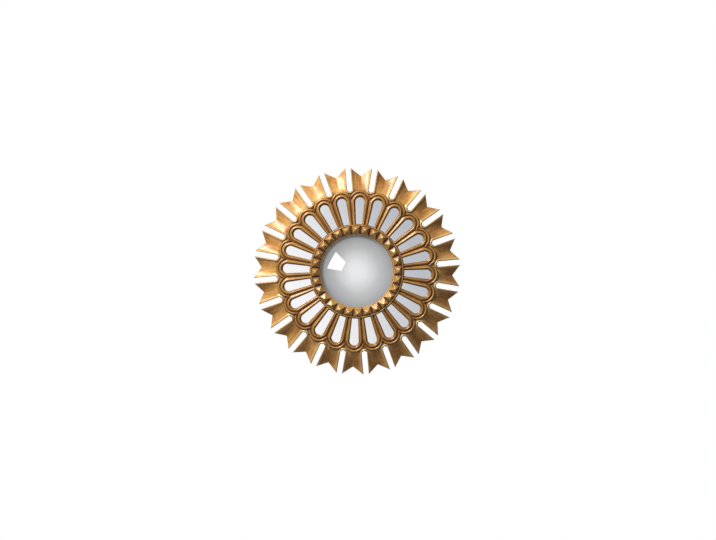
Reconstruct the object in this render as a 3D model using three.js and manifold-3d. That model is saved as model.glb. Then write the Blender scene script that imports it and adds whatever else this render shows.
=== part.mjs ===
// Convex butler's mirror: a round convex glass in a studded bezel, an arcade of narrow arched
// mirror insets round it, and an outer ring of fluted petals parted by open slots.
// Millimetres. The pieces are modelled about a local Z axis that runs from the wall (z = 0) to the
// front, with Y up; the exported group turns that axis to face -Y, so the finished mirror hangs
// with +Z up, its front facing -Y and its wall plane at y = 0.
import * as THREE from 'three';
import { mergeVertices } from 'three/addons/utils/BufferGeometryUtils.js';
import Module from 'manifold-3d';

// ---------------------------------------------------------------- driving dimensions
const FIT = 0.3; // gap left between pieces that touch
const ROUND_FIT = 0.4; // the same between round pieces whose facets differ

// Whole frame
const BAYS = 24; // one arch and one petal to each bay
const TIP_R = 280; // petal points
const NOTCH_DEPTH = 22; // of the V in each petal's outer edge
const SLOT_WIDTH = 15;
const SLOT_LAND = 5.1; // left between a slot's rounded end and the arcade ring
const SEAT_LAND = 3.9; // least width of the shelf under the arcade ring

// Heights above the wall
const BACK_GAP = 8; // from the wall to the back of the petals
const SEAT_H = 22.4; // shelf that the arcade ring is glued to
const ROOT_RIDGE_H = 31; // petal ridges at the inner end of the slots
const TIP_RIDGE_H = 17; // petal ridges at the points
const ROOT_FLUTE_DEPTH = 4.5;
const NOTCH_FLUTE_DEPTH = 9;
const FLUTE_VEE = 0.4; // 0 is a round flute, 1 a straight-sided V

// Arcade ring: a moulding of two beads round each opening
const ARCH_HALF_ANGLE = 4; // degrees; the sides of an opening are radial
const ARCH_CROWN_R = 202.5; // top of the opening
const ARCH_FOOT_GAP = 2.2; // from the bezel to the straight inner end of the opening
const ARCADE_BODY_H = 29.5; // sight edge of the openings
const ARCADE_SHELF_H = 28.4; // shelf under the bezel's flange
const INNER_BEAD = { offset: 4.9, height: 3.6, halfWidth: 3.2 };
const GROOVE = { offset: 8.9, height: 0.6 };
const OUTER_BEAD = { offset: 15.1, height: 4.6 };
const MOULDING_WIDTH = 19.7; // sight edge to the scalloped outer edge

// Inset mirrors and the board behind them
const INSET_LAP = 3; // how far the glass runs under the sight edge
const INSET_GLASS = 3;
const BOARD_THICKNESS = 3;
const BOARD_CLEARANCE = 2; // round the board's rim
const BOARD_BORE_GAP = 1; // the board's bore is wider than the arcade ring's
const BOARD_SCREWS = 6;
const BOARD_SCREW_R = 165;

// Studded bezel
const STUDS = 28;
const STUD_PHASE = 9.1; // degrees clockwise from the top to the first stud
const LIP_WIDTH = 2; // slope between the sight edge and the studs
const STUD_INNER = 13.5; // a stud's length from its foot to its apex
const STUD_OUTER = 9; // and from its apex to the thin raised bead
const BEAD_WIDTH = 3;
const BEAD_SLOPE = 0.9;
const BEAD_ROUND = 0.6;
const FLANGE_LAP = 7.5; // how far the bezel's flange reaches over the arcade ring
const STUD_FOOT_H = 31;
const STUD_SHOULDER_H = 33.5;
const STUD_APEX_H = 41;
const BEAD_H = 35;
const BEZEL_LIP_H = 27.5;
const BEZEL_BACK_H = 12.7;

// Convex glass and what is packed behind it
const GLASS_R = 101.7;
const GLASS_LAP = 3.7; // how far it runs under the bezel
const GLASS_CURVE_R = 268; // 8 inch round convex glass
const GLASS_THICKNESS = 3.2;
const GLASS_RIM_H = 24; // front of the glass at its rim
const PAD_WIDTH = 10;
const PAD_THICKNESS = 2.2;
const DISC_THICKNESS = 5;

// Turn buttons that hold the backing disc
const BUTTONS = 4;
const BUTTON = { length: 34, width: 12, thickness: 2, tail: 7 };
const BUTTON_PIVOT_GAP = 8.3; // from the glass's edge to the pivots

// Hangers: a folded strap and a D-shaped ring behind each of two petals
const HANGER_BAY = 2; // bays either side of the top
const STRAP = { width: 12, thickness: 2.4, length: 28, wall: 1.2 };
const STRAP_SCREW_DROPS = [8.5, 22]; // below the ring's bar
const WIRE_R = 1.3;
const RING = { halfWidth: 8.3, side: 6, corner: 2 };
const RING_LEAN = 4; // degrees that a ring leans on the frame when it points up
const CURL_END = 53; // degrees that the strap's curl goes on below the ring's bar

// Bumpers and screws
const BUMPER_BAY = 3; // bays between the vertical and the nearest bumper
const BUMPER_INSET = 22; // from the bottom of a petal's V
const BUMPER_RADIUS = 8;
const BUMPER_BEVEL = 1;
const SCREW = {
  shankR: 1.4, pointLength: 4.2, headR: 3.5, headHeight: 1.8, crownR: 2.1, edgeHeight: 0.5,
};
const SCREW_HOLE_R = 1.8;
const BOARD_SCREW_LENGTH = 7;
const BUTTON_SCREW_LENGTH = 11;
const STRAP_SCREW_LENGTH = 9;

// Facets
const ROUND_STEPS = 48;
const GLASS_STEPS = { round: 40, across: 5 };
const SMALL_STEPS = 8;
const PAD_STEPS = 32;
const CROWN_SHARES = [1, 0.68, 0.34, 0]; // places from an arch's notch to its crown
const SCREW_STEPS = 6;

// ---------------------------------------------------------------- derived dimensions
const rad = THREE.MathUtils.degToRad;
const PITCH = 2 * Math.PI / BAYS;
const HALF_PITCH = PITCH / 2;
const SLOT_HALF = SLOT_WIDTH / 2;
const ARCH_HALF = rad(ARCH_HALF_ANGLE);
const ARCH_CENTRE_R = ARCH_CROWN_R / (1 + Math.sin(ARCH_HALF));
const ARCH_RADIUS = ARCH_CROWN_R - ARCH_CENTRE_R;
const SCALLOP_RADIUS = ARCH_RADIUS + MOULDING_WIDTH;
// Radius at which the petal ring's scallops meet, on the line between two bays.
const SCALLOP_MEET_R = ARCH_CENTRE_R * Math.cos(HALF_PITCH)
  + Math.sqrt((SCALLOP_RADIUS + FIT) ** 2 - (ARCH_CENTRE_R * Math.sin(HALF_PITCH)) ** 2);
const SLOT_INNER_R = SCALLOP_MEET_R + SLOT_LAND;
const SLOT_SPRING_R = SLOT_INNER_R + SLOT_HALF;
const RING_BORE_R = SCALLOP_MEET_R - SEAT_LAND; // opening that the backing board drops into
const NOTCH_R = TIP_R - NOTCH_DEPTH;
const SIGHT_R = GLASS_R - GLASS_LAP; // visible radius of the convex glass
const STUD_FOOT_R = SIGHT_R + LIP_WIDTH;
const STUD_APEX_R = STUD_FOOT_R + STUD_INNER;
const BEAD_R = STUD_APEX_R + STUD_OUTER;
const BEZEL_R = BEAD_R + BEAD_WIDTH;
const ARCADE_BORE_R = BEZEL_R - FLANGE_LAP;
const ARCH_FOOT_R = BEZEL_R + ARCH_FOOT_GAP;
const BOARD_BORE_R = ARCADE_BORE_R + BOARD_BORE_GAP;
const ARCADE_BACK_H = SEAT_H + FIT;
const INSET_BACK_H = ARCADE_BACK_H + FIT;
const POCKET_H = INSET_BACK_H + INSET_GLASS + FIT;
const BOARD_FRONT_H = ARCADE_BACK_H - FIT;
const BOARD_BACK_H = BOARD_FRONT_H - BOARD_THICKNESS;
const GLASS_BACK_H = GLASS_RIM_H - GLASS_THICKNESS;
const PAD_FRONT_H = GLASS_BACK_H - FIT;
const DISC_FRONT_H = PAD_FRONT_H - PAD_THICKNESS - FIT;
const DISC_BACK_H = DISC_FRONT_H - DISC_THICKNESS;
const BUTTON_FRONT_H = Math.min(BEZEL_BACK_H, DISC_BACK_H) - FIT;
const BUTTON_BACK_H = BUTTON_FRONT_H - BUTTON.thickness;
const BEZEL_BORE_R = GLASS_R + ROUND_FIT;
const STRAP_FRONT_H = BACK_GAP - FIT;
const STRAP_BACK_H = STRAP_FRONT_H - STRAP.thickness;
const EYE_R = WIRE_R + FIT;
const CURL_R = EYE_R + STRAP.wall;
const EYE_H = STRAP_FRONT_H - CURL_R;
const HANGER_LENGTH = STRAP.length + RING.side + RING.halfWidth + WIRE_R;
const HANGER_R = (RING_BORE_R + NOTCH_R) / 2; // middle of a hanger, on its petal's centre line
const BUMPER_R = NOTCH_R - BUMPER_INSET;
const BUTTON_PIVOT_R = GLASS_R + BUTTON_PIVOT_GAP;

// ---------------------------------------------------------------- materials
const finish = (color, roughness, metalness) =>
  new THREE.MeshStandardMaterial({ color, roughness, metalness });
const GILT = finish(0xc08a3e, 0.45, 0.7);
const MIRROR = finish(0xe2e4e8, 0.04, 1);
const BOARD = finish(0x7a5c40, 0.85, 0);
const FELT = finish(0x33302c, 0.95, 0);
const BRASS = finish(0xb8935a, 0.35, 0.9);
const STEEL = finish(0xa8a8a6, 0.3, 0.95);
const RUBBER = finish(0xd9d6cf, 0.7, 0);

// ---------------------------------------------------------------- geometry helpers
const wasm = await Module();
wasm.setup();

// Rounds a coordinate, so that corners that meet are equal; adding 0 turns -0 into 0.
const snap = (value) => Math.round(value * 1e4) / 1e4 + 0;
const point = (x, y, z) => new THREE.Vector3(x, y, z);
// A point given by its radius, its angle clockwise from the top and its height above the wall.
const polar = (r, angle, h) => point(r * Math.sin(angle), r * Math.cos(angle), h);

// Collects triangles and quads and closes them into one mesh.
class Facets {
  constructor() {
    this.triangles = [];
  }
  triangle(a, b, c) {
    this.triangles.push([a, b, c]);
  }
  quad(a, b, c, d) {
    this.triangle(a, b, c);
    this.triangle(a, c, d);
  }
  // A band of quads between two rows of equal length.
  strip(lower, upper) {
    for (let i = 0; i + 1 < lower.length; i += 1) {
      this.quad(lower[i], lower[i + 1], upper[i + 1], upper[i]);
    }
  }
  // A band between one straight edge and a row of points.
  fan(start, end, row) {
    const middle = Math.floor((row.length - 1) / 2);
    for (let i = 0; i < middle; i += 1) this.triangle(start, row[i + 1], row[i]);
    this.quad(start, end, row[middle + 1], row[middle]);
    for (let i = middle + 1; i + 1 < row.length; i += 1) this.triangle(end, row[i + 1], row[i]);
  }
  // Makes a whole ring of what was collected so far, which is half of one bay with its faces
  // pointing in: that half turned inside out, and its mirror image, repeated round the axis.
  mirrorAndRepeat(copies) {
    const half = this.triangles;
    this.triangles = [];
    for (let copy = 0; copy < copies; copy += 1) {
      const turn = copy * PITCH;
      const place = (p, side) => polar(
        Math.hypot(p.x, p.y), turn + side * Math.atan2(p.x, p.y), p.z);
      half.forEach(([a, b, c]) => {
        this.triangle(place(a, -1), place(b, -1), place(c, -1));
        this.triangle(place(a, 1), place(c, 1), place(b, 1));
      });
    }
  }
  geometry() {
    const snapped = this.triangles.map((corners) =>
      corners.map((p) => [snap(p.x), snap(p.y), snap(p.z)]));
    const real = snapped.filter((corners) => new Set(corners.map(String)).size === 3);
    const made = new THREE.BufferGeometry();
    made.setAttribute('position', new THREE.Float32BufferAttribute(real.flat(2), 3));
    return mergeVertices(made, 1e-4);
  }
}

function solidOf(geometry) {
  const bare = geometry.clone();
  bare.deleteAttribute('normal');
  bare.deleteAttribute('uv');
  const merged = mergeVertices(bare, 1e-4);
  return new wasm.Manifold(new wasm.Mesh({
    numProp: 3,
    vertProperties: new Float32Array(merged.attributes.position.array),
    triVerts: new Uint32Array(merged.index.array),
  }));
}

function geometryOf(solid) {
  const { vertProperties, triVerts } = solid.getMesh();
  const made = new THREE.BufferGeometry();
  made.setAttribute('position', new THREE.BufferAttribute(vertProperties, 3));
  return made.setIndex(new THREE.BufferAttribute(triVerts, 1));
}

const join = (base, ...others) => geometryOf(
  others.reduce((solid, other) => solid.add(solidOf(other)), solidOf(base)));
const cut = (base, ...tools) => geometryOf(
  tools.reduce((solid, tool) => solid.subtract(solidOf(tool)), solidOf(base)));

// A profile of [radius, height] pairs turned about Z. A ring's profile ends where it starts.
function revolve(profile, steps = ROUND_STEPS) {
  const points = profile.map(([r, h]) => new THREE.Vector2(r, h));
  return new THREE.LatheGeometry(points, steps).rotateX(Math.PI / 2);
}

const washer = (innerR, outerR, lowH, highH, steps) => revolve([
  [innerR, lowH], [outerR, lowH], [outerR, highH], [innerR, highH], [innerR, lowH],
], steps);

// A flat outline of [x, y] pairs, from one height to another.
function plate(outline, lowH, highH, holes = []) {
  const shape = new THREE.Shape(outline.map(([x, y]) => new THREE.Vector2(x, y)));
  holes.forEach((hole) => shape.holes.push(hole));
  const options = { depth: highH - lowH, bevelEnabled: false, curveSegments: SMALL_STEPS / 2 };
  return new THREE.ExtrudeGeometry(shape, options).translate(0, 0, lowH);
}

const drill = (x, y, lowH, highH, radius = SCREW_HOLE_R) =>
  new THREE.CylinderGeometry(radius, radius, highH - lowH, SMALL_STEPS)
    .rotateX(Math.PI / 2)
    .translate(x, y, (lowH + highH) / 2);

// ---------------------------------------------------------------- the arch outline
// Where the ray that leaves the arch's centre at an angle from the bay's centre line has got to.
function archPoint(angle, offset, h) {
  const reach = ARCH_RADIUS + offset;
  return point(reach * Math.sin(angle), ARCH_CENTRE_R + reach * Math.cos(angle), h);
}

// How far from the sight edge such a ray meets the line between two bays.
function offsetAtMidline(angle) {
  const past = Math.sin(angle - HALF_PITCH);
  return past > 0 ? ARCH_CENTRE_R * Math.sin(HALF_PITCH) / past - ARCH_RADIUS : Infinity;
}

const SPRING_ANGLE = Math.PI / 2 + ARCH_HALF;
// Where the moulding's outer edge meets its neighbour's.
const NOTCH_ANGLE = HALF_PITCH
  + Math.asin(ARCH_CENTRE_R * Math.sin(HALF_PITCH) / SCALLOP_RADIUS);
const CROWN_ANGLES = CROWN_SHARES.map((share) => NOTCH_ANGLE * share);
const ARCH_ANGLES = [SPRING_ANGLE, (SPRING_ANGLE + NOTCH_ANGLE) / 2, ...CROWN_ANGLES];

// The opening's outline set out by an offset, with its straight foot at a given radius.
function openingOutline(offset, footR) {
  const footHalf = (footR * Math.sin(ARCH_HALF) + offset) / Math.cos(ARCH_HALF);
  const right = ARCH_ANGLES.map((angle) => archPoint(angle, offset, 0));
  const left = right.slice(0, -1).reverse();
  return [
    [-footHalf, footR], [footHalf, footR],
    ...right.map((p) => [p.x, p.y]), ...left.map((p) => [-p.x, p.y]),
  ].reverse();
}

// ---------------------------------------------------------------- petal ring
// Height of the carved petal face at a place whose nearest slot edge is `across` of the way (0 to 1)
// to the valley down the petal's middle.
function petalHeight(r, across) {
  const out = (r - SLOT_INNER_R) / (TIP_R - SLOT_INNER_R);
  const ridge = THREE.MathUtils.lerp(ROOT_RIDGE_H, TIP_RIDGE_H, out);
  const along = (r - SLOT_INNER_R) / (NOTCH_R - SLOT_INNER_R);
  const depth = THREE.MathUtils.lerp(ROOT_FLUTE_DEPTH, NOTCH_FLUTE_DEPTH, along);
  const hollow = FLUTE_VEE * across + (1 - FLUTE_VEE) * (1 - (1 - across) ** 2);
  return ridge - depth * hollow;
}

// One half of a petal, from the line between two bays (the slot's axis) to the petal's middle.
function petalRing() {
  const acrossSteps = CROWN_ANGLES.length - 1;
  // Places along the slot: its axis inside the rounded end, then its edge.
  const besideSlot = (sideways, along, h) => polar(
    Math.hypot(along, sideways), HALF_PITCH - Math.atan2(sideways, along), h);
  const tipAlong = Math.sqrt(TIP_R ** 2 - SLOT_HALF ** 2);
  const endCurve = [0, 45, 90].map((turn) => [
    SLOT_HALF * Math.sin(rad(turn)), SLOT_SPRING_R - SLOT_HALF * Math.cos(rad(turn)),
  ]);
  const slotSide = [
    ...endCurve,
    ...[1 / 2, 1].map((t) => [SLOT_HALF, THREE.MathUtils.lerp(SLOT_SPRING_R, tipAlong, t)]),
  ];
  const crownR = ARCH_CENTRE_R + SCALLOP_RADIUS + FIT;
  const valley = slotSide.map((_, i) =>
    THREE.MathUtils.lerp(crownR, NOTCH_R, (i + 1) / slotSide.length));
  const rows = slotSide.map(([sideways, along], i) => {
    const edge = besideSlot(sideways, along, 0);
    const middle = polar(valley[i], 0, 0);
    return Array.from({ length: acrossSteps + 1 }, (_, j) => {
      const p = edge.clone().lerp(middle, j / acrossSteps);
      return p.setZ(petalHeight(Math.hypot(p.x, p.y), j / acrossSteps));
    });
  });
  // The scalloped edge that the arcade ring sits inside.
  const scallop = CROWN_ANGLES.map((angle) => archPoint(angle, MOULDING_WIDTH + FIT, 0));
  scallop[0] = polar(SCALLOP_MEET_R, HALF_PITCH, 0);
  const rim = scallop.map((p, j) => p.clone().setZ(
    petalHeight(Math.hypot(p.x, p.y), (1 + j) / (1 + acrossSteps))));
  const shelf = scallop.map((p) => p.clone().setZ(SEAT_H));
  const bore = [HALF_PITCH, 0].map((angle) => polar(RING_BORE_R, angle, SEAT_H));
  const down = (p) => p.clone().setZ(BACK_GAP);

  const facets = new Facets();
  // The half petal lies between angle 0 and half a pitch, on the right of its middle.
  facets.fan(bore[0], bore[1], shelf);
  facets.strip(shelf, rim);
  facets.strip(rim, rows[0]);
  rows.slice(1).forEach((row, i) => facets.strip(rows[i], row));
  const outer = rows.at(-1);
  facets.fan(down(outer.at(-1)), down(outer[0]), [...outer].reverse());
  // The slot's wall, the back and the bore.
  rows.slice(1).forEach((row, i) => facets.quad(
    down(rows[i][0]), rows[i][0], row[0], down(row[0])));
  const backRows = [bore, ...rows.map((row) => [row[0], row.at(-1)])].map((row) => row.map(down));
  backRows.slice(1).forEach((row, i) => facets.strip(row, backRows[i]));
  facets.quad(down(bore[0]), down(bore[1]), bore[1], bore[0]);
  facets.mirrorAndRepeat(BAYS);

  const holes = hangerScrewPlaces().map(({ x, y }) =>
    drill(x, y, BACK_GAP - 1, BACK_GAP + STRAP_SCREW_LENGTH - STRAP.thickness));
  return cut(facets.geometry(), ...holes);
}

// ---------------------------------------------------------------- arcade ring
// The moulding's section: [offset from the sight edge, height].
const MOULDING = [
  [0, ARCADE_BODY_H],
  [INNER_BEAD.offset - INNER_BEAD.halfWidth, ARCADE_BODY_H + 0.5 * INNER_BEAD.height],
  [INNER_BEAD.offset, ARCADE_BODY_H + INNER_BEAD.height],
  [GROOVE.offset, ARCADE_BODY_H + GROOVE.height],
  [OUTER_BEAD.offset, ARCADE_BODY_H + OUTER_BEAD.height],
  [MOULDING_WIDTH, ARCADE_BODY_H],
];

function mouldingHeight(offset) {
  const next = MOULDING.findIndex(([at]) => at >= offset);
  if (next <= 0) return MOULDING[0][1];
  const [[a, low], [b, high]] = [MOULDING[next - 1], MOULDING[next]];
  return THREE.MathUtils.mapLinear(offset, a, b, low, high);
}

function arcadeRing() {
  // Stations round half an arch: the leg's foot, then the arc from its spring to its crown. The
  // section is spread or squeezed on the legs, so that its groove follows the line between bays.
  const legWidth = (along) => along * Math.tan(HALF_PITCH - ARCH_HALF);
  const springAlong = Math.sqrt(ARCH_CENTRE_R ** 2 - ARCH_RADIUS ** 2);
  const footAlong = BEZEL_R + FIT;
  const side = (along, offset, h) => point(
    along * Math.sin(ARCH_HALF) + offset * Math.cos(ARCH_HALF),
    along * Math.cos(ARCH_HALF) - offset * Math.sin(ARCH_HALF), h);
  const springSpread = legWidth(springAlong) / GROOVE.offset;
  const stations = [
    { limit: legWidth(footAlong), spread: legWidth(footAlong) / GROOVE.offset,
      at: (offset, h) => side(footAlong, offset, h) },
    ...ARCH_ANGLES.map((angle) => ({
      limit: angle === CROWN_ANGLES[0] ? MOULDING_WIDTH : offsetAtMidline(angle),
      spread: THREE.MathUtils.clamp(THREE.MathUtils.mapLinear(
        angle, NOTCH_ANGLE, SPRING_ANGLE, 1, springSpread), 1, springSpread),
      at: (offset, h) => archPoint(angle, offset, h),
    })),
  ];
  const rows = stations.map(({ limit, spread, at }) => MOULDING.map(([offset]) => {
    const reached = Math.min(offset * spread, limit, MOULDING_WIDTH);
    return at(reached, mouldingHeight(Math.min(offset, reached / spread)));
  }));
  const down = (p) => p.clone().setZ(ARCADE_BACK_H);
  const facets = new Facets();
  rows.slice(1).forEach((row, i) => {
    const previous = rows[i];
    facets.strip(row, previous);
    facets.quad(previous[0], down(previous[0]), down(row[0]), row[0]);
    facets.quad(down(previous[0]), down(previous.at(-1)), down(row.at(-1)), down(row[0]));
    const free = stations[i].limit >= MOULDING_WIDTH;
    if (free) facets.quad(row.at(-1), down(row.at(-1)), down(previous.at(-1)), previous.at(-1));
  });
  facets.fan(down(rows[0].at(-1)), down(rows[0][0]), [...rows[0]].reverse());
  facets.mirrorAndRepeat(BAYS);

  const inner = washer(ARCADE_BORE_R, ARCH_FOOT_R, ARCADE_BACK_H, ARCADE_SHELF_H);
  const footR = ARCH_FOOT_R - INSET_LAP - FIT;
  const pockets = bays((turn) =>
    plate(openingOutline(INSET_LAP + FIT, footR), ARCADE_BACK_H - 1, POCKET_H).rotateZ(-turn));
  const screws = boardScrewPlaces().map(({ x, y }) =>
    drill(x, y, ARCADE_BACK_H - 1, BOARD_BACK_H + BOARD_SCREW_LENGTH + FIT));
  return cut(join(facets.geometry(), inner), ...pockets, ...screws);
}

// Calls `make` with each bay's angle clockwise from the top.
const bays = (make) => Array.from({ length: BAYS }, (_, i) => make(i * PITCH, i));

// ---------------------------------------------------------------- studded bezel
function studdedBezel() {
  const steps = 2 * STUDS;
  const spigotR = ARCADE_BORE_R - ROUND_FIT;
  const flangeH = ARCADE_SHELF_H + FIT;
  const ledgeH = glassFrontH(SIGHT_R) + FIT;
  // The turned section, from the outer edge of the studs round the back to their inner edge.
  const section = [
    [BEAD_R, STUD_SHOULDER_H],
    [BEAD_R + BEAD_SLOPE, BEAD_H],
    [BEZEL_R - BEAD_ROUND, BEAD_H - BEAD_ROUND],
    [BEZEL_R, STUD_SHOULDER_H],
    [BEZEL_R, flangeH],
    [spigotR, flangeH],
    [spigotR, BEZEL_BACK_H],
    [BEZEL_BORE_R, BEZEL_BACK_H],
    [BEZEL_BORE_R, ledgeH],
    [SIGHT_R, ledgeH],
    [SIGHT_R, BEZEL_LIP_H],
    [STUD_FOOT_R, STUD_FOOT_H],
  ];
  const angleOf = (step) => rad(STUD_PHASE) + (step - 1) * Math.PI / STUDS;
  const ring = ([r, h]) => Array.from({ length: steps + 1 }, (_, i) =>
    polar(r, angleOf(i % steps), h));
  const rings = section.map(ring);
  const facets = new Facets();
  rings.slice(1).forEach((row, i) => facets.strip(rings[i], row));
  const [outer, inner] = [rings[0], rings.at(-1)];
  for (let i = 0; i < steps; i += 2) {
    const apex = polar(STUD_APEX_R, angleOf(i + 1), STUD_APEX_H);
    facets.triangle(apex, outer[i + 1], outer[i]);
    facets.triangle(apex, outer[i + 2], outer[i + 1]);
    facets.triangle(apex, inner[i], inner[i + 1]);
    facets.triangle(apex, inner[i + 1], inner[i + 2]);
    facets.triangle(apex, outer[i], inner[i]);
    facets.triangle(apex, inner[i + 2], outer[i + 2]);
  }
  const holes = buttonPlaces().map(({ x, y }) =>
    drill(x, y, BEZEL_BACK_H - 1, BUTTON_BACK_H + BUTTON_SCREW_LENGTH + FIT));
  return cut(facets.geometry(), ...holes);
}

// ---------------------------------------------------------------- glass, pad and boards
const sag = (r, curve) => curve - Math.sqrt(curve ** 2 - r ** 2);
const glassFrontH = (r) => GLASS_RIM_H + sag(GLASS_R, GLASS_CURVE_R) - sag(r, GLASS_CURVE_R);

function convexGlass() {
  const backCurve = GLASS_CURVE_R - GLASS_THICKNESS;
  const radii = Array.from(
    { length: GLASS_STEPS.across + 1 }, (_, i) => GLASS_R * i / GLASS_STEPS.across);
  const front = radii.map((r) => [r, glassFrontH(r)]);
  const back = radii.map((r) => [r, GLASS_BACK_H + sag(GLASS_R, backCurve) - sag(r, backCurve)]);
  return revolve([...back, ...front.reverse()], GLASS_STEPS.round);
}

const insetGlass = () => plate(
  openingOutline(INSET_LAP, ARCH_FOOT_R - INSET_LAP), INSET_BACK_H, INSET_BACK_H + INSET_GLASS);

function insetBackingBoard() {
  const board = washer(
    BOARD_BORE_R, RING_BORE_R - BOARD_CLEARANCE, BOARD_BACK_H, BOARD_FRONT_H);
  const holes = boardScrewPlaces().map(({ x, y }) =>
    drill(x, y, BOARD_BACK_H - 1, BOARD_FRONT_H + 1));
  return cut(board, ...holes);
}

const glassPadRing = () =>
  washer(GLASS_R - PAD_WIDTH, GLASS_R, PAD_FRONT_H - PAD_THICKNESS, PAD_FRONT_H, PAD_STEPS);

const glassBackingDisc = () =>
  revolve([[0, DISC_BACK_H], [GLASS_R, DISC_BACK_H], [GLASS_R, DISC_FRONT_H], [0, DISC_FRONT_H]]);

// ---------------------------------------------------------------- fasteners and fittings
const buttonPlaces = () => Array.from({ length: BUTTONS }, (_, i) => {
  const angle = (i + 0.5) * 2 * Math.PI / BUTTONS;
  const { x, y } = polar(BUTTON_PIVOT_R, angle, 0);
  return { angle, x, y };
});

const boardScrewPlaces = () => Array.from({ length: BOARD_SCREWS }, (_, i) => {
  const bay = i * BAYS / BOARD_SCREWS + 0.5;
  return polar(BOARD_SCREW_R, bay * PITCH, 0);
});

// The bar of a hanger's ring: the hanger is centred on its petal's middle line.
function eyePlace(side) {
  const middle = polar(HANGER_R, side * HANGER_BAY * PITCH, 0);
  return { x: middle.x, y: middle.y + STRAP.length - HANGER_LENGTH / 2 };
}

function hangerScrewPlaces() {
  return [-1, 1].flatMap((side) => {
    const { x, y } = eyePlace(side);
    return STRAP_SCREW_DROPS.map((drop) => ({ x, y: y - drop }));
  });
}

// A round-headed wood screw that goes in from the back, its head on `h`.
function screw(x, y, h, length) {
  const { shankR, pointLength, headR, headHeight, crownR, edgeHeight } = SCREW;
  return revolve([
    [0, -headHeight], [crownR, -headHeight], [headR, -edgeHeight], [headR, 0],
    [shankR, 0], [shankR, length - pointLength], [0, length],
  ], SCREW_STEPS).translate(x, y, h);
}

// A turn button about its pivot, its long end pointing down to the pivot's local -Y.
function turnButton() {
  const half = BUTTON.width / 2;
  const turns = Array.from({ length: 7 }, (_, i) => Math.PI * i / 6);
  const tail = turns.map((t) => [half * Math.cos(t), BUTTON.tail - half + half * Math.sin(t)]);
  const tipY = BUTTON.tail - BUTTON.length + half;
  const tip = turns.map((t) => [-half * Math.cos(t), tipY - half * Math.sin(t)]);
  const hole = new THREE.Path().absarc(0, 0, SCREW_HOLE_R, 0, 2 * Math.PI, true);
  return plate([...tail, ...tip], BUTTON_BACK_H, BUTTON_FRONT_H, [hole]);
}

// A strap folded round the ring's bar, seen from its side and given the strap's width.
function hangerStrap({ x, y }) {
  const curl = [-CURL_END, 0, 30, 60, 90, 120, 150, 180].map((turn) => [
    -CURL_R * Math.cos(rad(turn)), CURL_R * Math.sin(rad(turn)),
  ]);
  const outline = [
    ...curl,
    [CURL_R, -STRAP.length],
    [CURL_R - STRAP.thickness, -STRAP.length],
    [CURL_R - STRAP.thickness, -CURL_R],
  ].reverse();
  const eye = new THREE.Path().absarc(0, 0, EYE_R, 0, 2 * Math.PI, true);
  const shape = new THREE.Shape(outline.map(([depth, up]) => new THREE.Vector2(depth, up)));
  shape.holes.push(eye);
  const strap = new THREE.ExtrudeGeometry(shape, {
    depth: STRAP.width, bevelEnabled: false, curveSegments: SMALL_STEPS / 2,
  }).translate(0, 0, -STRAP.width / 2)
    .rotateY(-Math.PI / 2)
    .translate(x, y, EYE_H);
  const holes = STRAP_SCREW_DROPS.map((drop) => drill(x, y - drop, 0, BACK_GAP));
  return cut(strap, ...holes);
}

// The ring: round wire bent to a D whose straight bar lies in the strap's eye.
function hangerRing({ x, y }) {
  const { halfWidth, side, corner } = RING;
  const quarter = (cx, cy, from) => [0, 45, 90].map((turn) => {
    const t = rad(from + turn);
    return [cx + corner * Math.cos(t), cy + corner * Math.sin(t)];
  });
  const bow = Array.from({ length: 9 }, (_, i) => {
    const t = Math.PI * i / 8;
    return [halfWidth * Math.cos(t), side + halfWidth * Math.sin(t)];
  });
  const path = [
    ...quarter(halfWidth - corner, corner, -90), ...bow,
    ...quarter(corner - halfWidth, corner, 180),
  ];
  const count = path.length;
  const rows = path.map(([px, py], i) => {
    const [ax, ay] = path[(i + count - 1) % count];
    const [bx, by] = path[(i + 1) % count];
    const into = new THREE.Vector2(px - ax, py - ay).normalize();
    const out = new THREE.Vector2(bx - px, by - py).normalize();
    const ahead = into.clone().add(out).normalize();
    const mitre = 1 / Math.sqrt((1 + into.dot(out)) / 2);
    return Array.from({ length: SMALL_STEPS - 1 }, (_, k) => {
      const t = 2 * Math.PI * (k % (SMALL_STEPS - 2)) / (SMALL_STEPS - 2);
      const sideways = WIRE_R * mitre * Math.cos(t);
      return point(px + sideways * ahead.y, py - sideways * ahead.x, WIRE_R * Math.sin(t));
    });
  });
  const facets = new Facets();
  rows.forEach((row, i) => facets.strip(rows[(i + 1) % count], row));
  return facets.geometry().rotateX(rad(RING_LEAN)).translate(x, y, EYE_H);
}

const wallBumper = () => revolve([
  [0, 0], [BUMPER_RADIUS - BUMPER_BEVEL, 0], [BUMPER_RADIUS, BUMPER_BEVEL],
  [BUMPER_RADIUS, BACK_GAP - FIT], [0, BACK_GAP - FIT],
], 2 * SMALL_STEPS);

// ---------------------------------------------------------------- assembly
const mirror = new THREE.Group();
mirror.rotation.x = Math.PI / 2;

function add(name, geometry, material) {
  const mesh = new THREE.Mesh(geometry, material);
  mesh.name = name;
  mirror.add(mesh);
  return mesh;
}

add('petal_ring', petalRing(), GILT);
add('arcade_ring', arcadeRing(), GILT);
add('studded_bezel', studdedBezel(), GILT);
add('convex_glass', convexGlass(), MIRROR);

const inset = insetGlass();
bays((turn, i) => {
  add(`inset_mirror_${String(i + 1).padStart(2, '0')}`, inset, MIRROR).rotation.z = -turn;
});

add('inset_backing_board', insetBackingBoard(), BOARD);
add('glass_pad_ring', glassPadRing(), FELT);
add('glass_backing_disc', glassBackingDisc(), BOARD);

boardScrewPlaces().forEach(({ x, y }, i) => {
  add(`board_screw_${i + 1}`, screw(x, y, BOARD_BACK_H - FIT, BOARD_SCREW_LENGTH), STEEL);
});

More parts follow.
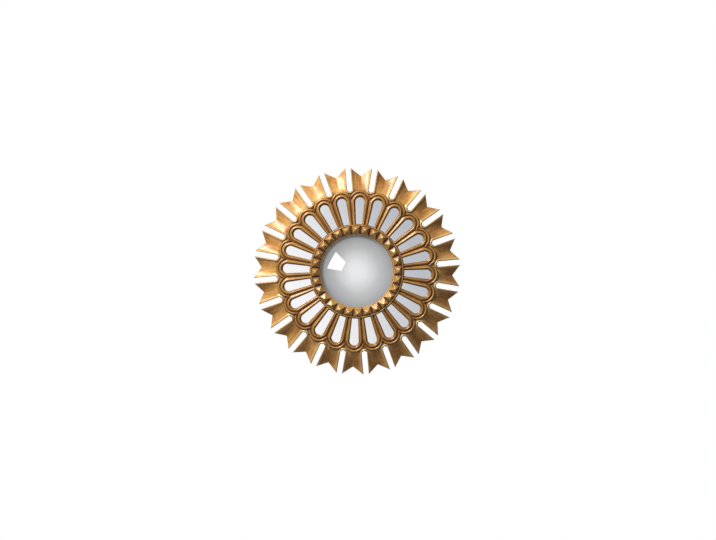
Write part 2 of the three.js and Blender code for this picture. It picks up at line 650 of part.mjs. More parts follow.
const button = turnButton();
buttonPlaces().forEach(({ x, y, angle }, i) => {
  const piece = add(`turn_button_${i + 1}`, button, BRASS);
  piece.position.set(x, y, 0);
  piece.rotation.z = -angle;
  add(`turn_button_screw_${i + 1}`,
    screw(x, y, BUTTON_BACK_H - FIT, BUTTON_SCREW_LENGTH), BRASS);
});

// Left and right are as seen from the front.
[['left', -1], ['right', 1]].forEach(([name, side]) => {
  const eye = eyePlace(side);
  add(`hanger_strap_${name}`, hangerStrap(eye), STEEL);
  add(`hanger_ring_${name}`, hangerRing(eye), STEEL);
  STRAP_SCREW_DROPS.forEach((drop, i) => {
    add(`hanger_screw_${name}_${i + 1}`,
      screw(eye.x, eye.y - drop, STRAP_BACK_H - FIT, STRAP_SCREW_LENGTH), STEEL);
  });
});

const bumper = wallBumper();
[BUMPER_BAY, BAYS / 2 - BUMPER_BAY, BAYS / 2 + BUMPER_BAY, BAYS - BUMPER_BAY].forEach((bay, i) => {
  const piece = add(`wall_bumper_${i + 1}`, bumper, RUBBER);
  piece.position.copy(polar(BUMPER_R, bay * PITCH, 0));
});

export default mirror;
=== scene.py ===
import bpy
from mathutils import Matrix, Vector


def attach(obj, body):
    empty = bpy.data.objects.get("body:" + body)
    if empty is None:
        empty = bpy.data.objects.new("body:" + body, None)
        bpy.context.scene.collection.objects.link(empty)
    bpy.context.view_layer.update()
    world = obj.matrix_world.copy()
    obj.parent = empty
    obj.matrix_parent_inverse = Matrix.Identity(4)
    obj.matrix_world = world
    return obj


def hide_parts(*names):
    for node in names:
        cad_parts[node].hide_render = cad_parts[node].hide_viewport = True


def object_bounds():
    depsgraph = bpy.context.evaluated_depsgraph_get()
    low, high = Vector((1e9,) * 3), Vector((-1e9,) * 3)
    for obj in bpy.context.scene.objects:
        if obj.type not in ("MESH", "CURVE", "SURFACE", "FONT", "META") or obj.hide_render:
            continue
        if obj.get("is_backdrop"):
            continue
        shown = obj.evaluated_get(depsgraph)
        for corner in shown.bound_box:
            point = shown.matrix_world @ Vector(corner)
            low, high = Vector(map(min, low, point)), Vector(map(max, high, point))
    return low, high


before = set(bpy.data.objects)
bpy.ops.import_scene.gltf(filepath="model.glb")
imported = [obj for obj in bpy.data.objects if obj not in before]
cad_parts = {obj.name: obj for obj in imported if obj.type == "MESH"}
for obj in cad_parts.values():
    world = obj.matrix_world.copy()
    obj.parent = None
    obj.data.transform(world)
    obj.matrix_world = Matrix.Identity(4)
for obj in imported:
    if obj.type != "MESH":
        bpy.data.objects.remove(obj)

import inspect
from math import asin, atan2, cos, exp, hypot, pi, radians, sin, sqrt, tan, tau

import bmesh
import bpy
from bpy.props import FloatProperty, FloatVectorProperty, IntProperty, PointerProperty
from mathutils import Matrix, Vector, noise

bl_info = {
    "name": "Convex butler's mirror",
    "version": (1, 0, 0),
    "blender": (4, 5, 0),
    "location": "View3D > Sidebar > Butler's mirror",
    "description": "The carved, gilded and silvered pieces of a round convex wall mirror",
    "category": "Object",
}

CAD_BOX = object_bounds()
MM = 0.001

# Places that the pieces share, in metres from the mirror's axis or off the wall.
BAYS = 24
HALF_BAY = pi / BAYS
FIT = 0.3 * MM
BACK_H = 8 * MM                 # back of the petals
SEAT_H = 22.4 * MM              # shelf that the arcade ring is glued to
ARCH_HALF = radians(4)          # the sides of an opening are radial
ARCH_CENTRE_R = 189.295 * MM
ARCH_RADIUS = 13.205 * MM
MOULDING_WIDTH = 16 * MM
SCALLOP_RADIUS = ARCH_RADIUS + MOULDING_WIDTH + FIT
# Two scallops of the petal ring meet on the line between their bays.
SCALLOP_MEET_R = ARCH_CENTRE_R * cos(HALF_BAY) + sqrt(
    SCALLOP_RADIUS ** 2 - (ARCH_CENTRE_R * sin(HALF_BAY)) ** 2)
RING_BORE_R = 205.958 * MM
BEZEL_R = 125.5 * MM
ARCADE_BORE_R = 118 * MM
ARCH_FOOT_R = 127.7 * MM
ARCADE_BACK_H = 22.7 * MM
POCKET_H = 26.3 * MM            # ceiling of the pockets that hold the insets
INSET_FACE_H = 26 * MM
ARCADE_SHELF_H = 28.4 * MM
ARCADE_BODY_H = 29.5 * MM       # sight edge of the openings
POCKET_LAP = 3.3 * MM
GLASS_R = 101.7 * MM
GLASS_RIM_H = 24 * MM
HANGER_X = 115.99 * MM
EYE_Z = 207.1 * MM              # bar of a hanger's ring
EYE_H = 4.9 * MM


# ------------------------------------------------------------------ sizes and colours
def length(name, description, millimetres):
    return FloatProperty(name=name, description=description, default=millimetres * MM,
                         min=0, precision=5, subtype="DISTANCE", unit="LENGTH")


def angle(name, description, degrees):
    return FloatProperty(name=name, description=description, default=radians(degrees),
                         subtype="ANGLE", unit="ROTATION")


def colour(name, description, value):
    return FloatVectorProperty(name=name, description=description, default=value, size=3,
                               min=0, max=1, subtype="COLOR")


class PetalSizes(bpy.types.PropertyGroup):
    """Sizes of the outer ring of fluted petals"""
    tip_radius: length("Tip radius", "From the mirror's axis to the petals' points", 280)
    notch_radius: length("Notch radius", "From the axis to the V in each petal's end", 258)
    slot_width: length("Slot width", "Width of the open slots between petals", 14.4)
    slot_start: length("Slot start", "Radius at which the slots' round ends begin", 214.958)
    root_height: length("Root height", "Ridges off the wall at the slots' inner ends", 31)
    tip_height: length("Tip height", "Ridges off the wall at the points", 17)
    root_flute: length("Flute at the root", "Depth of a petal's flute at the arcade", 1.2)
    notch_flute: length("Flute at the notch", "Depth of a petal's flute at its notch", 10.5)
    rim: length("Rim", "Height of the raised rim round a slot", 2.2)
    nose: length("Nose", "Fall of the rim from a slot's inner end to the arcade", 5.2)
    unevenness: length("Unevenness", "How far the carving strays from true", 0.35)


class ArcadeSizes(bpy.types.PropertyGroup):
    """Sizes of the moulding round the arched insets"""
    inner_bead: length("Inner bead", "Height of the bead next to the insets", 4.2)
    outer_bead: length("Outer bead", "Height of the bead round the arches", 3.0)
    unevenness: length("Unevenness", "How far the carving strays from true", 0.16)


class BezelSizes(bpy.types.PropertyGroup):
    """Sizes of the studded ring round the convex glass"""
    studs: IntProperty(name="Studs", description="Number of faceted studs", default=28, min=3)
    first_stud: angle("First stud", "From the top to the first stud, clockwise", 9.1)
    foot_height: length("Foot height", "Studs' inner feet off the wall", 31)
    shoulder_height: length("Shoulder height", "Studs' outer feet off the wall", 33.5)
    apex_height: length("Apex height", "Studs' points off the wall", 41)
    bead_height: length("Bead height", "Thin outer bead off the wall", 35)
    unevenness: length("Unevenness", "How far the carving strays from true", 0.12)


class GlassSizes(bpy.types.PropertyGroup):
    """Sizes of the convex glass"""
    curve: length("Curve radius", "Radius of the sphere that the glass is part of", 268)
    thickness: length("Thickness", "Thickness of the glass", 3.2)


class FittingSizes(bpy.types.PropertyGroup):
    """Sizes of the screws, turn buttons, hangers and bumpers behind the frame"""
    head_radius: length("Screw head radius", "Radius of the round screw heads", 3.5)
    head_height: length("Screw head height", "Height of the round screw heads", 1.8)
    slot_width: length("Screw slot", "Width of the slot in a screw head", 0.9)
    button_width: length("Button width", "Width of a turn button", 12)
    button_length: length("Button length", "Length of a turn button", 34)
    wire: length("Ring wire", "Diameter of the hanger rings' wire", 2.6)
    strap_width: length("Strap width", "Width of the hanger straps", 12)
    bumper_radius: length("Bumper radius", "Radius of the wall bumpers", 8)


class Finishes(bpy.types.PropertyGroup):
    """Colours of the finishes"""
    gold: colour("Gold leaf", "Bright burnished leaf", (0.74, 0.40, 0.12))
    deep_gold: colour("Toned leaf", "Leaf toned with brown glaze", (0.42, 0.175, 0.04))
    # A pale gold laid on the crests, both as rubbed leaf and as a painted highlight.
    pale_gold: colour("Rubbed leaf", "Leaf rubbed pale on the crests", (0.97, 0.80, 0.42))
    bole: colour("Bole", "Red clay where the leaf is worn through", (0.26, 0.085, 0.03))
    # A dark brown laid in the hollows, both as glaze left there and as painted shade.
    glaze: colour("Glaze", "Dark brown glaze left in the hollows", (0.055, 0.02, 0.006))
    paint: colour("Back paint", "Brown paint on the frame's back", (0.075, 0.04, 0.02))
    silver: colour("Silvering", "Tint of the convex glass", (0.90, 0.905, 0.91))
    # The insets' two tints are a painted reflection: lighter at the lower left, darker at the upper
    # right.
    inset_light: colour("Light insets", "Tint of the insets at the lower left", (0.96, 0.955, 0.97))
    inset_dark: colour("Dark insets", "Tint of the insets at the upper right", (0.50, 0.53, 0.57))
    hardboard: colour("Hardboard", "Boards behind the mirrors", (0.20, 0.105, 0.05))
    felt: colour("Felt", "Pad behind the convex glass", (0.03, 0.028, 0.026))
    brass: colour("Brass", "Turn buttons and their screws", (0.62, 0.42, 0.17))
    steel: colour("Steel", "Zinc-plated hangers and screws", (0.52, 0.53, 0.52))
    rubber: colour("Rubber", "Wall bumpers", (0.62, 0.60, 0.55))


class StudioSettings(bpy.types.PropertyGroup):
    """Camera and light"""
    distance: length("Camera distance", "From the wall plane to the camera", 5000)
    width: length("Picture width", "Width that the picture shows at the mirror", 1933.2)
    turn: angle("Turn", "How far the hung mirror looks turned clockwise", 2.4)
    key_power: FloatProperty(name="Key power", description="Watts of the key lamp", default=37)
    card_strength: FloatProperty(name="Card strength", description="Glow of the window card",
                                 default=1.2)


# ------------------------------------------------------------------ numbers
def lerp(a, b, t):
    return a + (b - a) * t


def clamp(value):
    return min(max(value, 0.0), 1.0)


def smooth(value):
    value = clamp(value)
    return value * value * (3 - 2 * value)


def bump(value, width):
    return exp(-((value / width) ** 2))


def steps(start, end, count):
    """Evenly spaced numbers from start up to, but without, end."""
    return [lerp(start, end, i / count) for i in range(count)]


# ------------------------------------------------------------------ meshes
def new_object(name, data):
    made = bpy.data.objects.new(name, data)
    bpy.context.scene.collection.objects.link(made)
    return made


def new_mesh(name, places, edges, faces):
    made = bpy.data.meshes.new(name)
    made.from_pydata(places, edges, faces)
    return made


def outcome(source):
    """The plain mesh that an object's modifiers make. The object is removed."""
    made = bpy.data.meshes.new_from_object(
        source.evaluated_get(bpy.context.evaluated_depsgraph_get()))
    bpy.data.objects.remove(source)
    return made


# A corner of a face is its place and three marks for the finish: how far it lies in a hollow, which
# darkens it with glaze and painted shade, how far on a crest, which pales it with rubbed leaf and a
# painted highlight, and how far towards the unseen back.
def corner(x, y, h, hollow=0.0, crest=0.0, backing=0.0):
    return Vector((x, -h, y)), (hollow, crest, backing)


def polar(radius, turn, h, *marks):
    """A corner at a radius, an angle clockwise from the top and a height off the wall."""
    return corner(radius * sin(turn), radius * cos(turn), h, *marks)


def sunk(row, h, backing=1.0):
    """The same row at another height, painted as the back is."""
    return [(Vector((place.x, -h, place.z)), (marks[0], 0.0, backing)) for place, marks in row]


class Shell:
    """Collects the faces of a piece."""

    def __init__(self):
        self.faces = []

    def strip(self, lower, upper):
        for i in range(len(lower) - 1):
            self.faces.append([lower[i], lower[i + 1], upper[i + 1], upper[i]])

    def strips(self, rows):
        for lower, upper in zip(rows, rows[1:]):
            self.strip(lower, upper)

    def drop(self, row, h, backing=1.0):
        """A wall down from a row. Returns the row at its foot."""
        low = sunk(row, h, backing)
        self.strip(row, low)
        return low

    def bridge(self, lower, upper):
        """Triangles between two rows with any number of corners."""
        i, j = 0, 0
        while i < len(lower) - 1 or j < len(upper) - 1:
            ahead_low = (i + 1) / max(len(lower) - 1, 1)
            ahead_up = (j + 1) / max(len(upper) - 1, 1)
            if j == len(upper) - 1 or (i < len(lower) - 1 and ahead_low <= ahead_up):
                self.faces.append([lower[i], lower[i + 1], upper[j]])
                i += 1
            else:
                self.faces.append([lower[i], upper[j + 1], upper[j]])
                j += 1

    def mirror(self):
        """Adds the same faces on the other side of the middle line."""
        self.faces += [
            [(Vector((-place.x, place.y, place.z)), marks) for place, marks in reversed(face)]
            for face in self.faces
        ]

    def mesh(self, name):
        corners = [c for face in self.faces for c in face]
        counts = iter(range(len(corners)))
        made = new_mesh(name, [place for place, _ in corners], [],
                        [[next(counts) for _ in face] for face in self.faces])
        for index, mark in enumerate(("hollow", "crest", "backing")):
            values = made.attributes.new(mark, "FLOAT", "POINT")
            values.data.foreach_set("value", [marks[index] for _, marks in corners])
        return weld(made)


def weld(mesh, closed=False):
    """Merges doubles, drops faces of no area and turns the rest outwards."""
    work = bmesh.new()
    work.from_mesh(mesh)
    bmesh.ops.remove_doubles(work, verts=work.verts, dist=0.002 * MM)
    bmesh.ops.dissolve_degenerate(work, edges=work.edges, dist=0.001 * MM)
    bmesh.ops.recalc_face_normals(work, faces=work.faces)
    gaps = [edge for edge in work.edges if len(edge.link_faces) != 2]
    if closed and gaps:
        where = gaps[0].verts[0].co / MM
        raise RuntimeError(f"{mesh.name} is open at {len(gaps)} edges, as at {where}")
    work.to_mesh(mesh)
    work.free()
    return mesh


def lathe(name, profile, count, backing=0.0):
    """A profile of (radius, height) pairs turned about the mirror's axis. It ends where it starts,
    or starts and ends on the axis."""
    turns = [tau * i / count for i in range(count)] + [0.0]
    shell = Shell()
    shell.strips([[polar(r, turn, h, 0, 0, backing) for turn in turns] for r, h in profile])
    return shell.mesh(name)


def eased(low_r, high_r, low_h, high_h, ease):
    """The profile of a ring or disc whose edges are eased by a small bevel."""
    inner = [(low_r, low_h + ease), (low_r + ease, low_h)] if low_r else [(0, low_h)]
    outer = [(high_r - ease, low_h), (high_r, low_h + ease),
             (high_r, high_h - ease), (high_r - ease, high_h)]
    back = [(low_r + ease, high_h), (low_r, high_h - ease), inner[0]] if low_r else [(0, high_h)]
    return inner + outer + back


def roughen(mesh, amount, wavelength, seed):
    """Moves the carved face in and out by a smooth noise, as a gouge leaves it."""
    backing = mesh.attributes["backing"].data
    offset = Vector((seed, seed * 1.7, seed * 2.3))
    for vertex, mark in zip(mesh.vertices, backing):
        if mark.value < 0.5:
            place = vertex.co / wavelength + offset
            vertex.co.y += amount * (noise.noise(place) + 0.5 * noise.noise(place * 2.7))


# ------------------------------------------------------------------ node trees
def operation(name, swapped=False):
    def apply(self, other):
        return self.net.maths(name, *((other, self) if swapped else (self, other)))
    return apply


class Value:
    """A node's output. Adding to it, and the like, adds the node that does so."""
    __add__ = operation("ADD")
    __sub__, __rsub__ = operation("SUBTRACT"), operation("SUBTRACT", swapped=True)
    __mul__ = operation("MULTIPLY")
    __rtruediv__ = operation("DIVIDE", swapped=True)

    def __init__(self, net, socket):
        self.net, self.socket = net, socket


def identified(sockets, identifier):
    return next(socket for socket in sockets if socket.identifier == identifier)


class Net:
    """Adds and joins the nodes of one tree."""

    def __init__(self, tree):
        self.tree = tree

    def find(self, kind):
        return next(node for node in self.tree.nodes if node.type == kind)

    def feed(self, socket, value):
        if isinstance(value, Value):
            self.tree.links.new(value.socket, socket)
        elif socket.type == "RGBA" and len(value) == 3:
            socket.default_value = (*value, 1)
        else:
            socket.default_value = value

    def node(self, kind, settings=None, **values):
        made = self.tree.nodes.new(kind)
        for key, value in (settings or {}).items():
            setattr(made, key, value)
        for key, value in values.items():
            self.feed(made.inputs[key.replace("_", " ")], value)
        return made

    def value(self, kind, output=0, settings=None, **values):
        """One output of a new node."""
        return Value(self, self.node(kind, settings, **values).outputs[output])

    def group(self, tree, **values):
        """The outputs of a node group, by name."""
        made = self.node("ShaderNodeGroup", {"node_tree": tree()}, **values)
        return {socket.name: Value(self, socket) for socket in made.outputs}

    def maths(self, name, *values, clamped=False):
        made = self.node("ShaderNodeMath", {"operation": name, "use_clamp": clamped})
        for socket, value in zip(made.inputs, values):
            self.feed(socket, value)
        return Value(self, made.outputs[0])

    def vectors(self, name, a, b, output="Vector"):
        made = self.node("ShaderNodeVectorMath", {"operation": name})
        self.feed(made.inputs[0], a)
        self.feed(made.inputs[1], b)
        return Value(self, made.outputs[output])

    def ramp(self, value, low, high, to_low=0.0, to_high=1.0):
        """Value from low to high, made to_low to to_high with a smooth step."""
        return self.value("ShaderNodeMapRange", 0, {"interpolation_type": "SMOOTHSTEP"},
                          Value=value, From_Min=low, From_Max=high, To_Min=to_low, To_Max=to_high)

    def mix(self, factor, a, b, blend="MIX"):
        made = self.node("ShaderNodeMix", {"data_type": "RGBA", "blend_type": blend})
        for key, value in (("Factor_Float", factor), ("A_Color", a), ("B_Color", b)):
            self.feed(identified(made.inputs, key), value)
        return Value(self, identified(made.outputs, "Result_Color"))

    def noise(self, vector, scale, detail=2.0, roughness=0.5):
        return self.value("ShaderNodeTexNoise", "Fac", Vector=vector, Scale=scale, Detail=detail,
                          Roughness=roughness)

    def relief(self, height, strength, distance):
        return self.value("ShaderNodeBump", Height=height, Strength=strength, Distance=distance)


def net_of(data):
    data.use_nodes = True
    return Net(data.node_tree)


def node_tree(name, kind):
    """Makes a function the builder of a node tree, which is built when it is first used. The
    function's parameters are the tree's inputs, with their kinds of socket, and it returns the
    tree's outputs by name."""
    def wrap(fill):
        def find():
            if name in bpy.data.node_groups:
                return bpy.data.node_groups[name]
            made = bpy.data.node_groups.new(name, kind)
            net = Net(made)
            for part in list(inspect.signature(fill).parameters.values())[1:]:
                socket = made.interface.new_socket(
                    name=part.name.replace("_", " ").title(), in_out="INPUT",
                    socket_type="NodeSocket" + part.annotation)
                if part.default is not part.empty:
                    socket.default_value = part.default
            given = made.nodes.new("NodeGroupInput").outputs
            results = fill(net, *[Value(net, socket) for socket in given if socket.name])
            for label in results:
                output = label if label in ("Color", "Geometry") else "Float"
                made.interface.new_socket(name=label, in_out="OUTPUT",
                                          socket_type="NodeSocket" + output)
            out = made.nodes.new("NodeGroupOutput")
            for label, value in results.items():
                net.feed(out.inputs[label], value)
            return made
        return find
    return wrap


def dressed(net, geometry, material, weld=None):
    """The end of a tree: plain mesh with its material."""
    real = net.value("GeometryNodeRealizeInstances", Geometry=geometry)
    if weld:
        real = net.value("GeometryNodeMergeByDistance", Geometry=real, Distance=weld)
    return {"Geometry": net.value("GeometryNodeSetMaterial", Geometry=real, Material=material)}


@node_tree("Ring of copies", "GeometryNodeTree")
def ring_tree(net, geometry: "Geometry", material: "Material", count: "Int" = 1,
              first_angle: "Float" = 0.0, radius: "Float" = 0.0, random_turn: "Float" = 0.0,
              seed: "Int" = 0, weld: "Float" = 0.00001):
    """Copies of a geometry round the mirror's axis, each turned as it is placed."""
    turn = first_angle + net.value("GeometryNodeInputIndex") * (tau / count)
    place = net.value("ShaderNodeCombineXYZ", X=radius * net.maths("SINE", turn),
                      Z=radius * net.maths("COSINE", turn))
    points = net.value("GeometryNodePoints", Count=count, Position=place)
    chance = net.node("FunctionNodeRandomValue", {"data_type": "FLOAT"})
    for key, value in (("Min_001", -1.0), ("Max_001", 1.0), ("Seed", seed)):
        net.feed(identified(chance.inputs, key), value)
    spin = turn + Value(net, identified(chance.outputs, "Value_001")) * random_turn
    turned = net.value("FunctionNodeEulerToRotation",
                       Euler=net.value("ShaderNodeCombineXYZ", Y=spin))
    placed = net.value("GeometryNodeInstanceOnPoints", Points=points, Instance=geometry,
                       Rotation=turned)
    return dressed(net, placed, material, weld)


@node_tree("Row of copies", "GeometryNodeTree")
def row_tree(net, geometry: "Geometry", material: "Material", start: "Vector", step: "Vector",
             count: "Int" = 2):
    """Copies of a geometry in a straight row."""
    line = net.value("GeometryNodeMeshLine", 0, {"mode": "OFFSET"}, Count=count,
                     Start_Location=start, Offset=step)
    placed = net.value("GeometryNodeInstanceOnPoints", Points=line, Instance=geometry)
    return dressed(net, placed, material)


@node_tree("Wire along a line", "GeometryNodeTree")
def wire_tree(net, geometry: "Geometry", material: "Material", wire_radius: "Float" = 0.001,
              sides: "Int" = 16):
    """Round wire along a line."""
    section = net.value("GeometryNodeCurvePrimitiveCircle", Resolution=sides, Radius=wire_radius)
    line = net.value("GeometryNodeMeshToCurve", Mesh=geometry)
    return dressed(net, net.value("GeometryNodeCurveToMesh", Curve=line, Profile_Curve=section),
                   material)


def grow(mesh, tree, **values):
    """Runs a mesh through a node tree and returns the plain mesh that comes out."""
    carrier = new_object(mesh.name + "_source", mesh)
    nodes = carrier.modifiers.new("Copies", "NODES")
    nodes.node_group = tree
    for item in tree.interface.items_tree:
        key = item.name.replace(" ", "_").lower()
        if item.in_out == "INPUT" and key in values:
            nodes[item.identifier] = values.pop(key)
    if values:
        raise RuntimeError(f"{tree.name} has no input named {sorted(values)}")
    made = outcome(carrier)
    made.name = mesh.name
    return made


def ring_of(mesh, material, count, **values):
    return grow(mesh, ring_tree(), material=material, count=count, **values)


def row_of(mesh, material, start, step):
    return grow(mesh, row_tree(), material=material, start=start, step=step)


def finish_piece(name, mesh, body, slot, *nodes, sharp=35, material=None):
    """Makes a closed mesh into a named piece on its body, in place of its CAD nodes."""
    if material:
        mesh.materials.append(material)
    weld(mesh, closed=True)
    mesh.name = name
    mesh.shade_smooth()
    mesh.set_sharp_from_angle(angle=radians(sharp))
    piece = new_object(name, mesh)
    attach(piece, body)
    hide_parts(*nodes)


# ------------------------------------------------------------------ finishes
STREAKS_ROUND, STREAKS_OUT = 55.0, 26.0         # how fine the brush streaks are
SCRATCHES = (4000.0, 4000.0, 250.0)
# The direction towards which a painted reflection darkens the insets, the upper right, and how far
# behind their faces the backing paint begins.
INSET_SHADE = (0.87, 0.0, 0.49)
PAINT_START, PAINT_END = 0.05 * MM, 0.2 * MM


@node_tree("Gilding", "ShaderNodeTree")
def gilding(net, place: "Vector", gold: "Color", deep_gold: "Color", pale_gold: "Color",
            bole: "Color", glaze: "Color", paint: "Color", hollow: "Float" = 0.0,
            crest: "Float" = 0.0, backing: "Float" = 0.0, wear: "Float" = 0.5,
            toning: "Float" = 0.5):
    """Worn, toned gold leaf over red bole on carved wood, with glaze and painted shade in the
    hollows and rubbed leaf and a painted highlight on the crests.
    """
    # Brush streaks run out from the centre: a direction from the axis, and the distance from it.
    parts = net.node("ShaderNodeSeparateXYZ", Vector=place).outputs
    x, z = Value(net, parts["X"]), Value(net, parts["Z"])
    radius = net.maths("SQRT", x * x + z * z)
    aside = STREAKS_ROUND / net.maths("MAXIMUM", radius, 0.001)
    spread = net.value("ShaderNodeCombineXYZ", X=x * aside, Y=z * aside, Z=radius * STREAKS_OUT)
    streaks = net.noise(spread, 1.0, 4.0, 0.6)
    clouds = net.noise(place, 22.0, 3.0, 0.6)
    mottles = net.noise(place, 110.0, 4.0, 0.65)
    grain = net.noise(place, 700.0, 2.0, 0.6)

    # Random tone of the leaf, with a little painted shade from the hollow mark.
    toned = clouds * 0.5 + streaks * 0.35 + mottles * 0.15 + hollow * 0.1 + toning * 0.3 - 0.15
    # Pale leaf on the crests: rubbed leaf and a painted highlight.
    rubbed = crest * net.ramp(mottles, 0.3, 0.6, 0.45, 1.0)
    worn = net.ramp(mottles * 0.6 + streaks * 0.4 + hollow * 0.06, 0.52, 0.66) * wear
    # The dark glaze colour in the hollows: glaze left there and painted shade.
    dark = net.ramp(hollow + mottles * 0.5 - 0.25, 0.45, 1.05) * 0.9
    painted = net.ramp(backing, 0.25, 0.6)
    leaf = net.mix(net.ramp(toned, 0.38, 0.66), gold, deep_gold)
    leaf = net.mix(worn, net.mix(rubbed, leaf, pale_gold), bole)
    stained = net.mix(net.ramp(mottles, 0.35, 0.65, 0.0, 0.5), paint, glaze)
    rough = net.ramp(mottles, 0.3, 0.7, 0.30, 0.44) - rubbed * 0.1 + worn * 0.2 + dark * 0.25
    metal = net.maths("SUBTRACT", 1.0, worn * 0.5 + dark * 0.6 + painted, clamped=True)
    return {"Color": net.mix(painted, net.mix(dark, leaf, glaze), stained),
            "Roughness": net.maths("ADD", rough, painted * 0.3, clamped=True),
            "Metallic": metal * (rubbed * 0.3 + 0.06),
            "Height": streaks * 0.5 + mottles * 0.4 + grain * 0.1}


@node_tree("Speckle", "ShaderNodeTree")
def speckle(net, place: "Vector", light: "Color", dark: "Color", scale: "Float" = 400.0,
            amount: "Float" = 0.5):
    """Two colours and a fine relief from soft and sharp specks, for boards, felt and rubber."""
    fine = net.noise(place, scale, 3.0, 0.7)
    broad = net.noise(place, scale * 0.06)
    factor = net.ramp(fine * 0.7 + broad * 0.3, 0.4, 0.62) * amount
    return {"Color": net.mix(factor, light, dark), "Height": fine}


@node_tree("Tarnish", "ShaderNodeTree")
def tarnish(net, place: "Vector", bright: "Color", dull: "Color", scale: "Float" = 200.0,
            polish: "Float" = 0.3):
    """Bright metal that has dulled in clouds and carries fine scratches."""
    clouds = net.ramp(net.noise(place, scale, 4.0, 0.65), 0.4, 0.65)
    scratches = net.noise(net.vectors("MULTIPLY", place, SCRATCHES), 1.0)
    return {"Color": net.mix(clouds, bright, dull), "Height": scratches,
            "Roughness": net.maths("ADD", polish + clouds * 0.22, scratches * 0.1, clamped=True)}


def finish(paint):
    """Makes a function the maker of a named material. The function is given the material's net
    and the piece's own coordinates, and returns the surface's values."""
    def find(name, *values, **named):
        if name in bpy.data.materials:
            return bpy.data.materials[name]
        made = bpy.data.materials.new(name)
        net = net_of(made)
        shader = net.find("BSDF_PRINCIPLED")
        place = net.value("ShaderNodeTexCoord", "Object")
        for key, value in paint(net, place, *values, **named).items():
            net.feed(shader.inputs[key.replace("_", " ")], value)
        return made
    return find


def tones():
    return bpy.context.scene.mirror_finishes


def dimmed(tone, *shares):
    return [part * share for part, share in zip(tone, shares)]


@finish
def gilt(net, place, wear, toning, depth=(1, 1, 1)):
    """`depth` darkens the whole leaf of a piece, a painted shade."""
    marks = {mark: net.value("ShaderNodeAttribute", "Fac", {"attribute_name": mark.lower()})
             for mark in ("Hollow", "Crest", "Backing")}
    leaf = net.group(
        gilding, Place=place, Gold=dimmed(tones().gold, *depth),
        Deep_Gold=dimmed(tones().deep_gold, *depth), Pale_Gold=dimmed(tones().pale_gold, *depth),
        Bole=tones().bole, Glaze=tones().glaze, Paint=tones().paint, Wear=wear, Toning=toning,
        **marks)
    return dict(Base_Color=leaf["Color"], Roughness=leaf["Roughness"], Metallic=leaf["Metallic"],
                Specular_IOR_Level=0.3, Coat_Weight=0.2, Coat_Roughness=0.25,
                Normal=net.relief(leaf["Height"], 0.35, 0.6 * MM))


@finish
def mirror_glass(net, place, smudge):
    film = net.noise(place, 9.0, 3.0, 0.6)
    cloudy = dimmed(tones().silver, 0.93, 0.935, 0.95)
    return dict(Base_Color=net.mix(net.ramp(film, 0.35, 0.7), tones().silver, cloudy),
                Roughness=net.ramp(film, 0.3, 0.7, 0.012, smudge), Metallic=1)


@finish
def inset_mirror(net, place):
    """Flat silvered glass with a painted reflection, lighter in the insets at the lower left and
    darker at the upper right.
    """
    film = net.noise(place, 24.0, 3.0, 0.6)
    # A painted reflection: the silvering darkens towards the upper right.
    tone = net.vectors("DOT_PRODUCT", place, INSET_SHADE, "Value") + film * 0.08 - 0.04
    silvered = net.mix(net.ramp(tone, -0.2, 0.2), tones().inset_light, tones().inset_dark)
    # Behind its front face a mirror carries dark backing paint.
    painted = net.ramp(net.value("ShaderNodeSeparateXYZ", "Y", Vector=place),
                       PAINT_START - INSET_FACE_H, PAINT_END - INSET_FACE_H)
    backing = net.mix(film, (0.035, 0.033, 0.03), (0.07, 0.066, 0.06))
    return dict(Base_Color=net.mix(painted, silvered, backing), Metallic=1.0 - painted,
                Roughness=net.ramp(film, 0.3, 0.7, 0.02, 0.06) + painted * 0.5)


@finish
def speckled(net, place, tone, dark, scale, amount, roughness, depth):
    specks = net.group(speckle, Place=place, Light=tone, Dark=dimmed(tone, dark, dark, dark),
                       Scale=scale, Amount=amount)
    return dict(Base_Color=specks["Color"], Roughness=roughness,
                Normal=net.relief(specks["Height"], 0.5, depth))


@finish
def metal(net, place, tone, dull, scale, polish):
    skin = net.group(tarnish, Place=place, Bright=tone, Dull=dimmed(tone, dull, dull, dull),
                     Scale=scale, Polish=polish)
    return dict(Base_Color=skin["Color"], Roughness=skin["Roughness"], Metallic=1,
                Normal=net.relief(skin["Height"], 0.25, 0.05 * MM))


def hardboard():
    return speckled("Hardboard", tones().hardboard, dark=0.45, scale=900, amount=0.8,
                    roughness=0.72, depth=0.08 * MM)


def brass():
    return metal("Dull brass", tones().brass, dull=0.6, scale=160, polish=0.26)


def steel():
    return metal("Zinc-plated steel", tones().steel, dull=0.72, scale=260, polish=0.28)


def carved_ring(node, bay, leaf, count, unevenness, wavelength, seed, sharp, **values):
    """Repeats a carved bay round the axis and makes the ring a piece."""
    mesh = ring_of(bay, leaf, count, **values)
    roughen(mesh, unevenness, wavelength, seed)
    finish_piece("carved_" + node, mesh, "frame", "gilt", node, sharp=sharp)


# ------------------------------------------------------------------ petal ring
# Offsets from a slot's edge: its rim is rounded off towards the slot as far as the crown, and falls
# away past it. Round the slot's inner end it falls further, in a nose.
RIM_CROWN, RIM_EASING, RIM_FALL = 2.3 * MM, 3.4 * MM, 4.4 * MM
NOSE_START, NOSE_RUN = 1.8 * MM, 6.5 * MM
END_BEVEL, END_BEVEL_RUN = 0.9 * MM, 1.4 * MM
COLLAR, COLLAR_WIDTH = 4.2 * MM, 3.2 * MM       # painted highlight: a pale band along a slot's rim, strongest round its inner end
# How far painted shade spreads round the spandrel where two scallops meet.
SPANDREL_WIDTH = 3.2 * MM
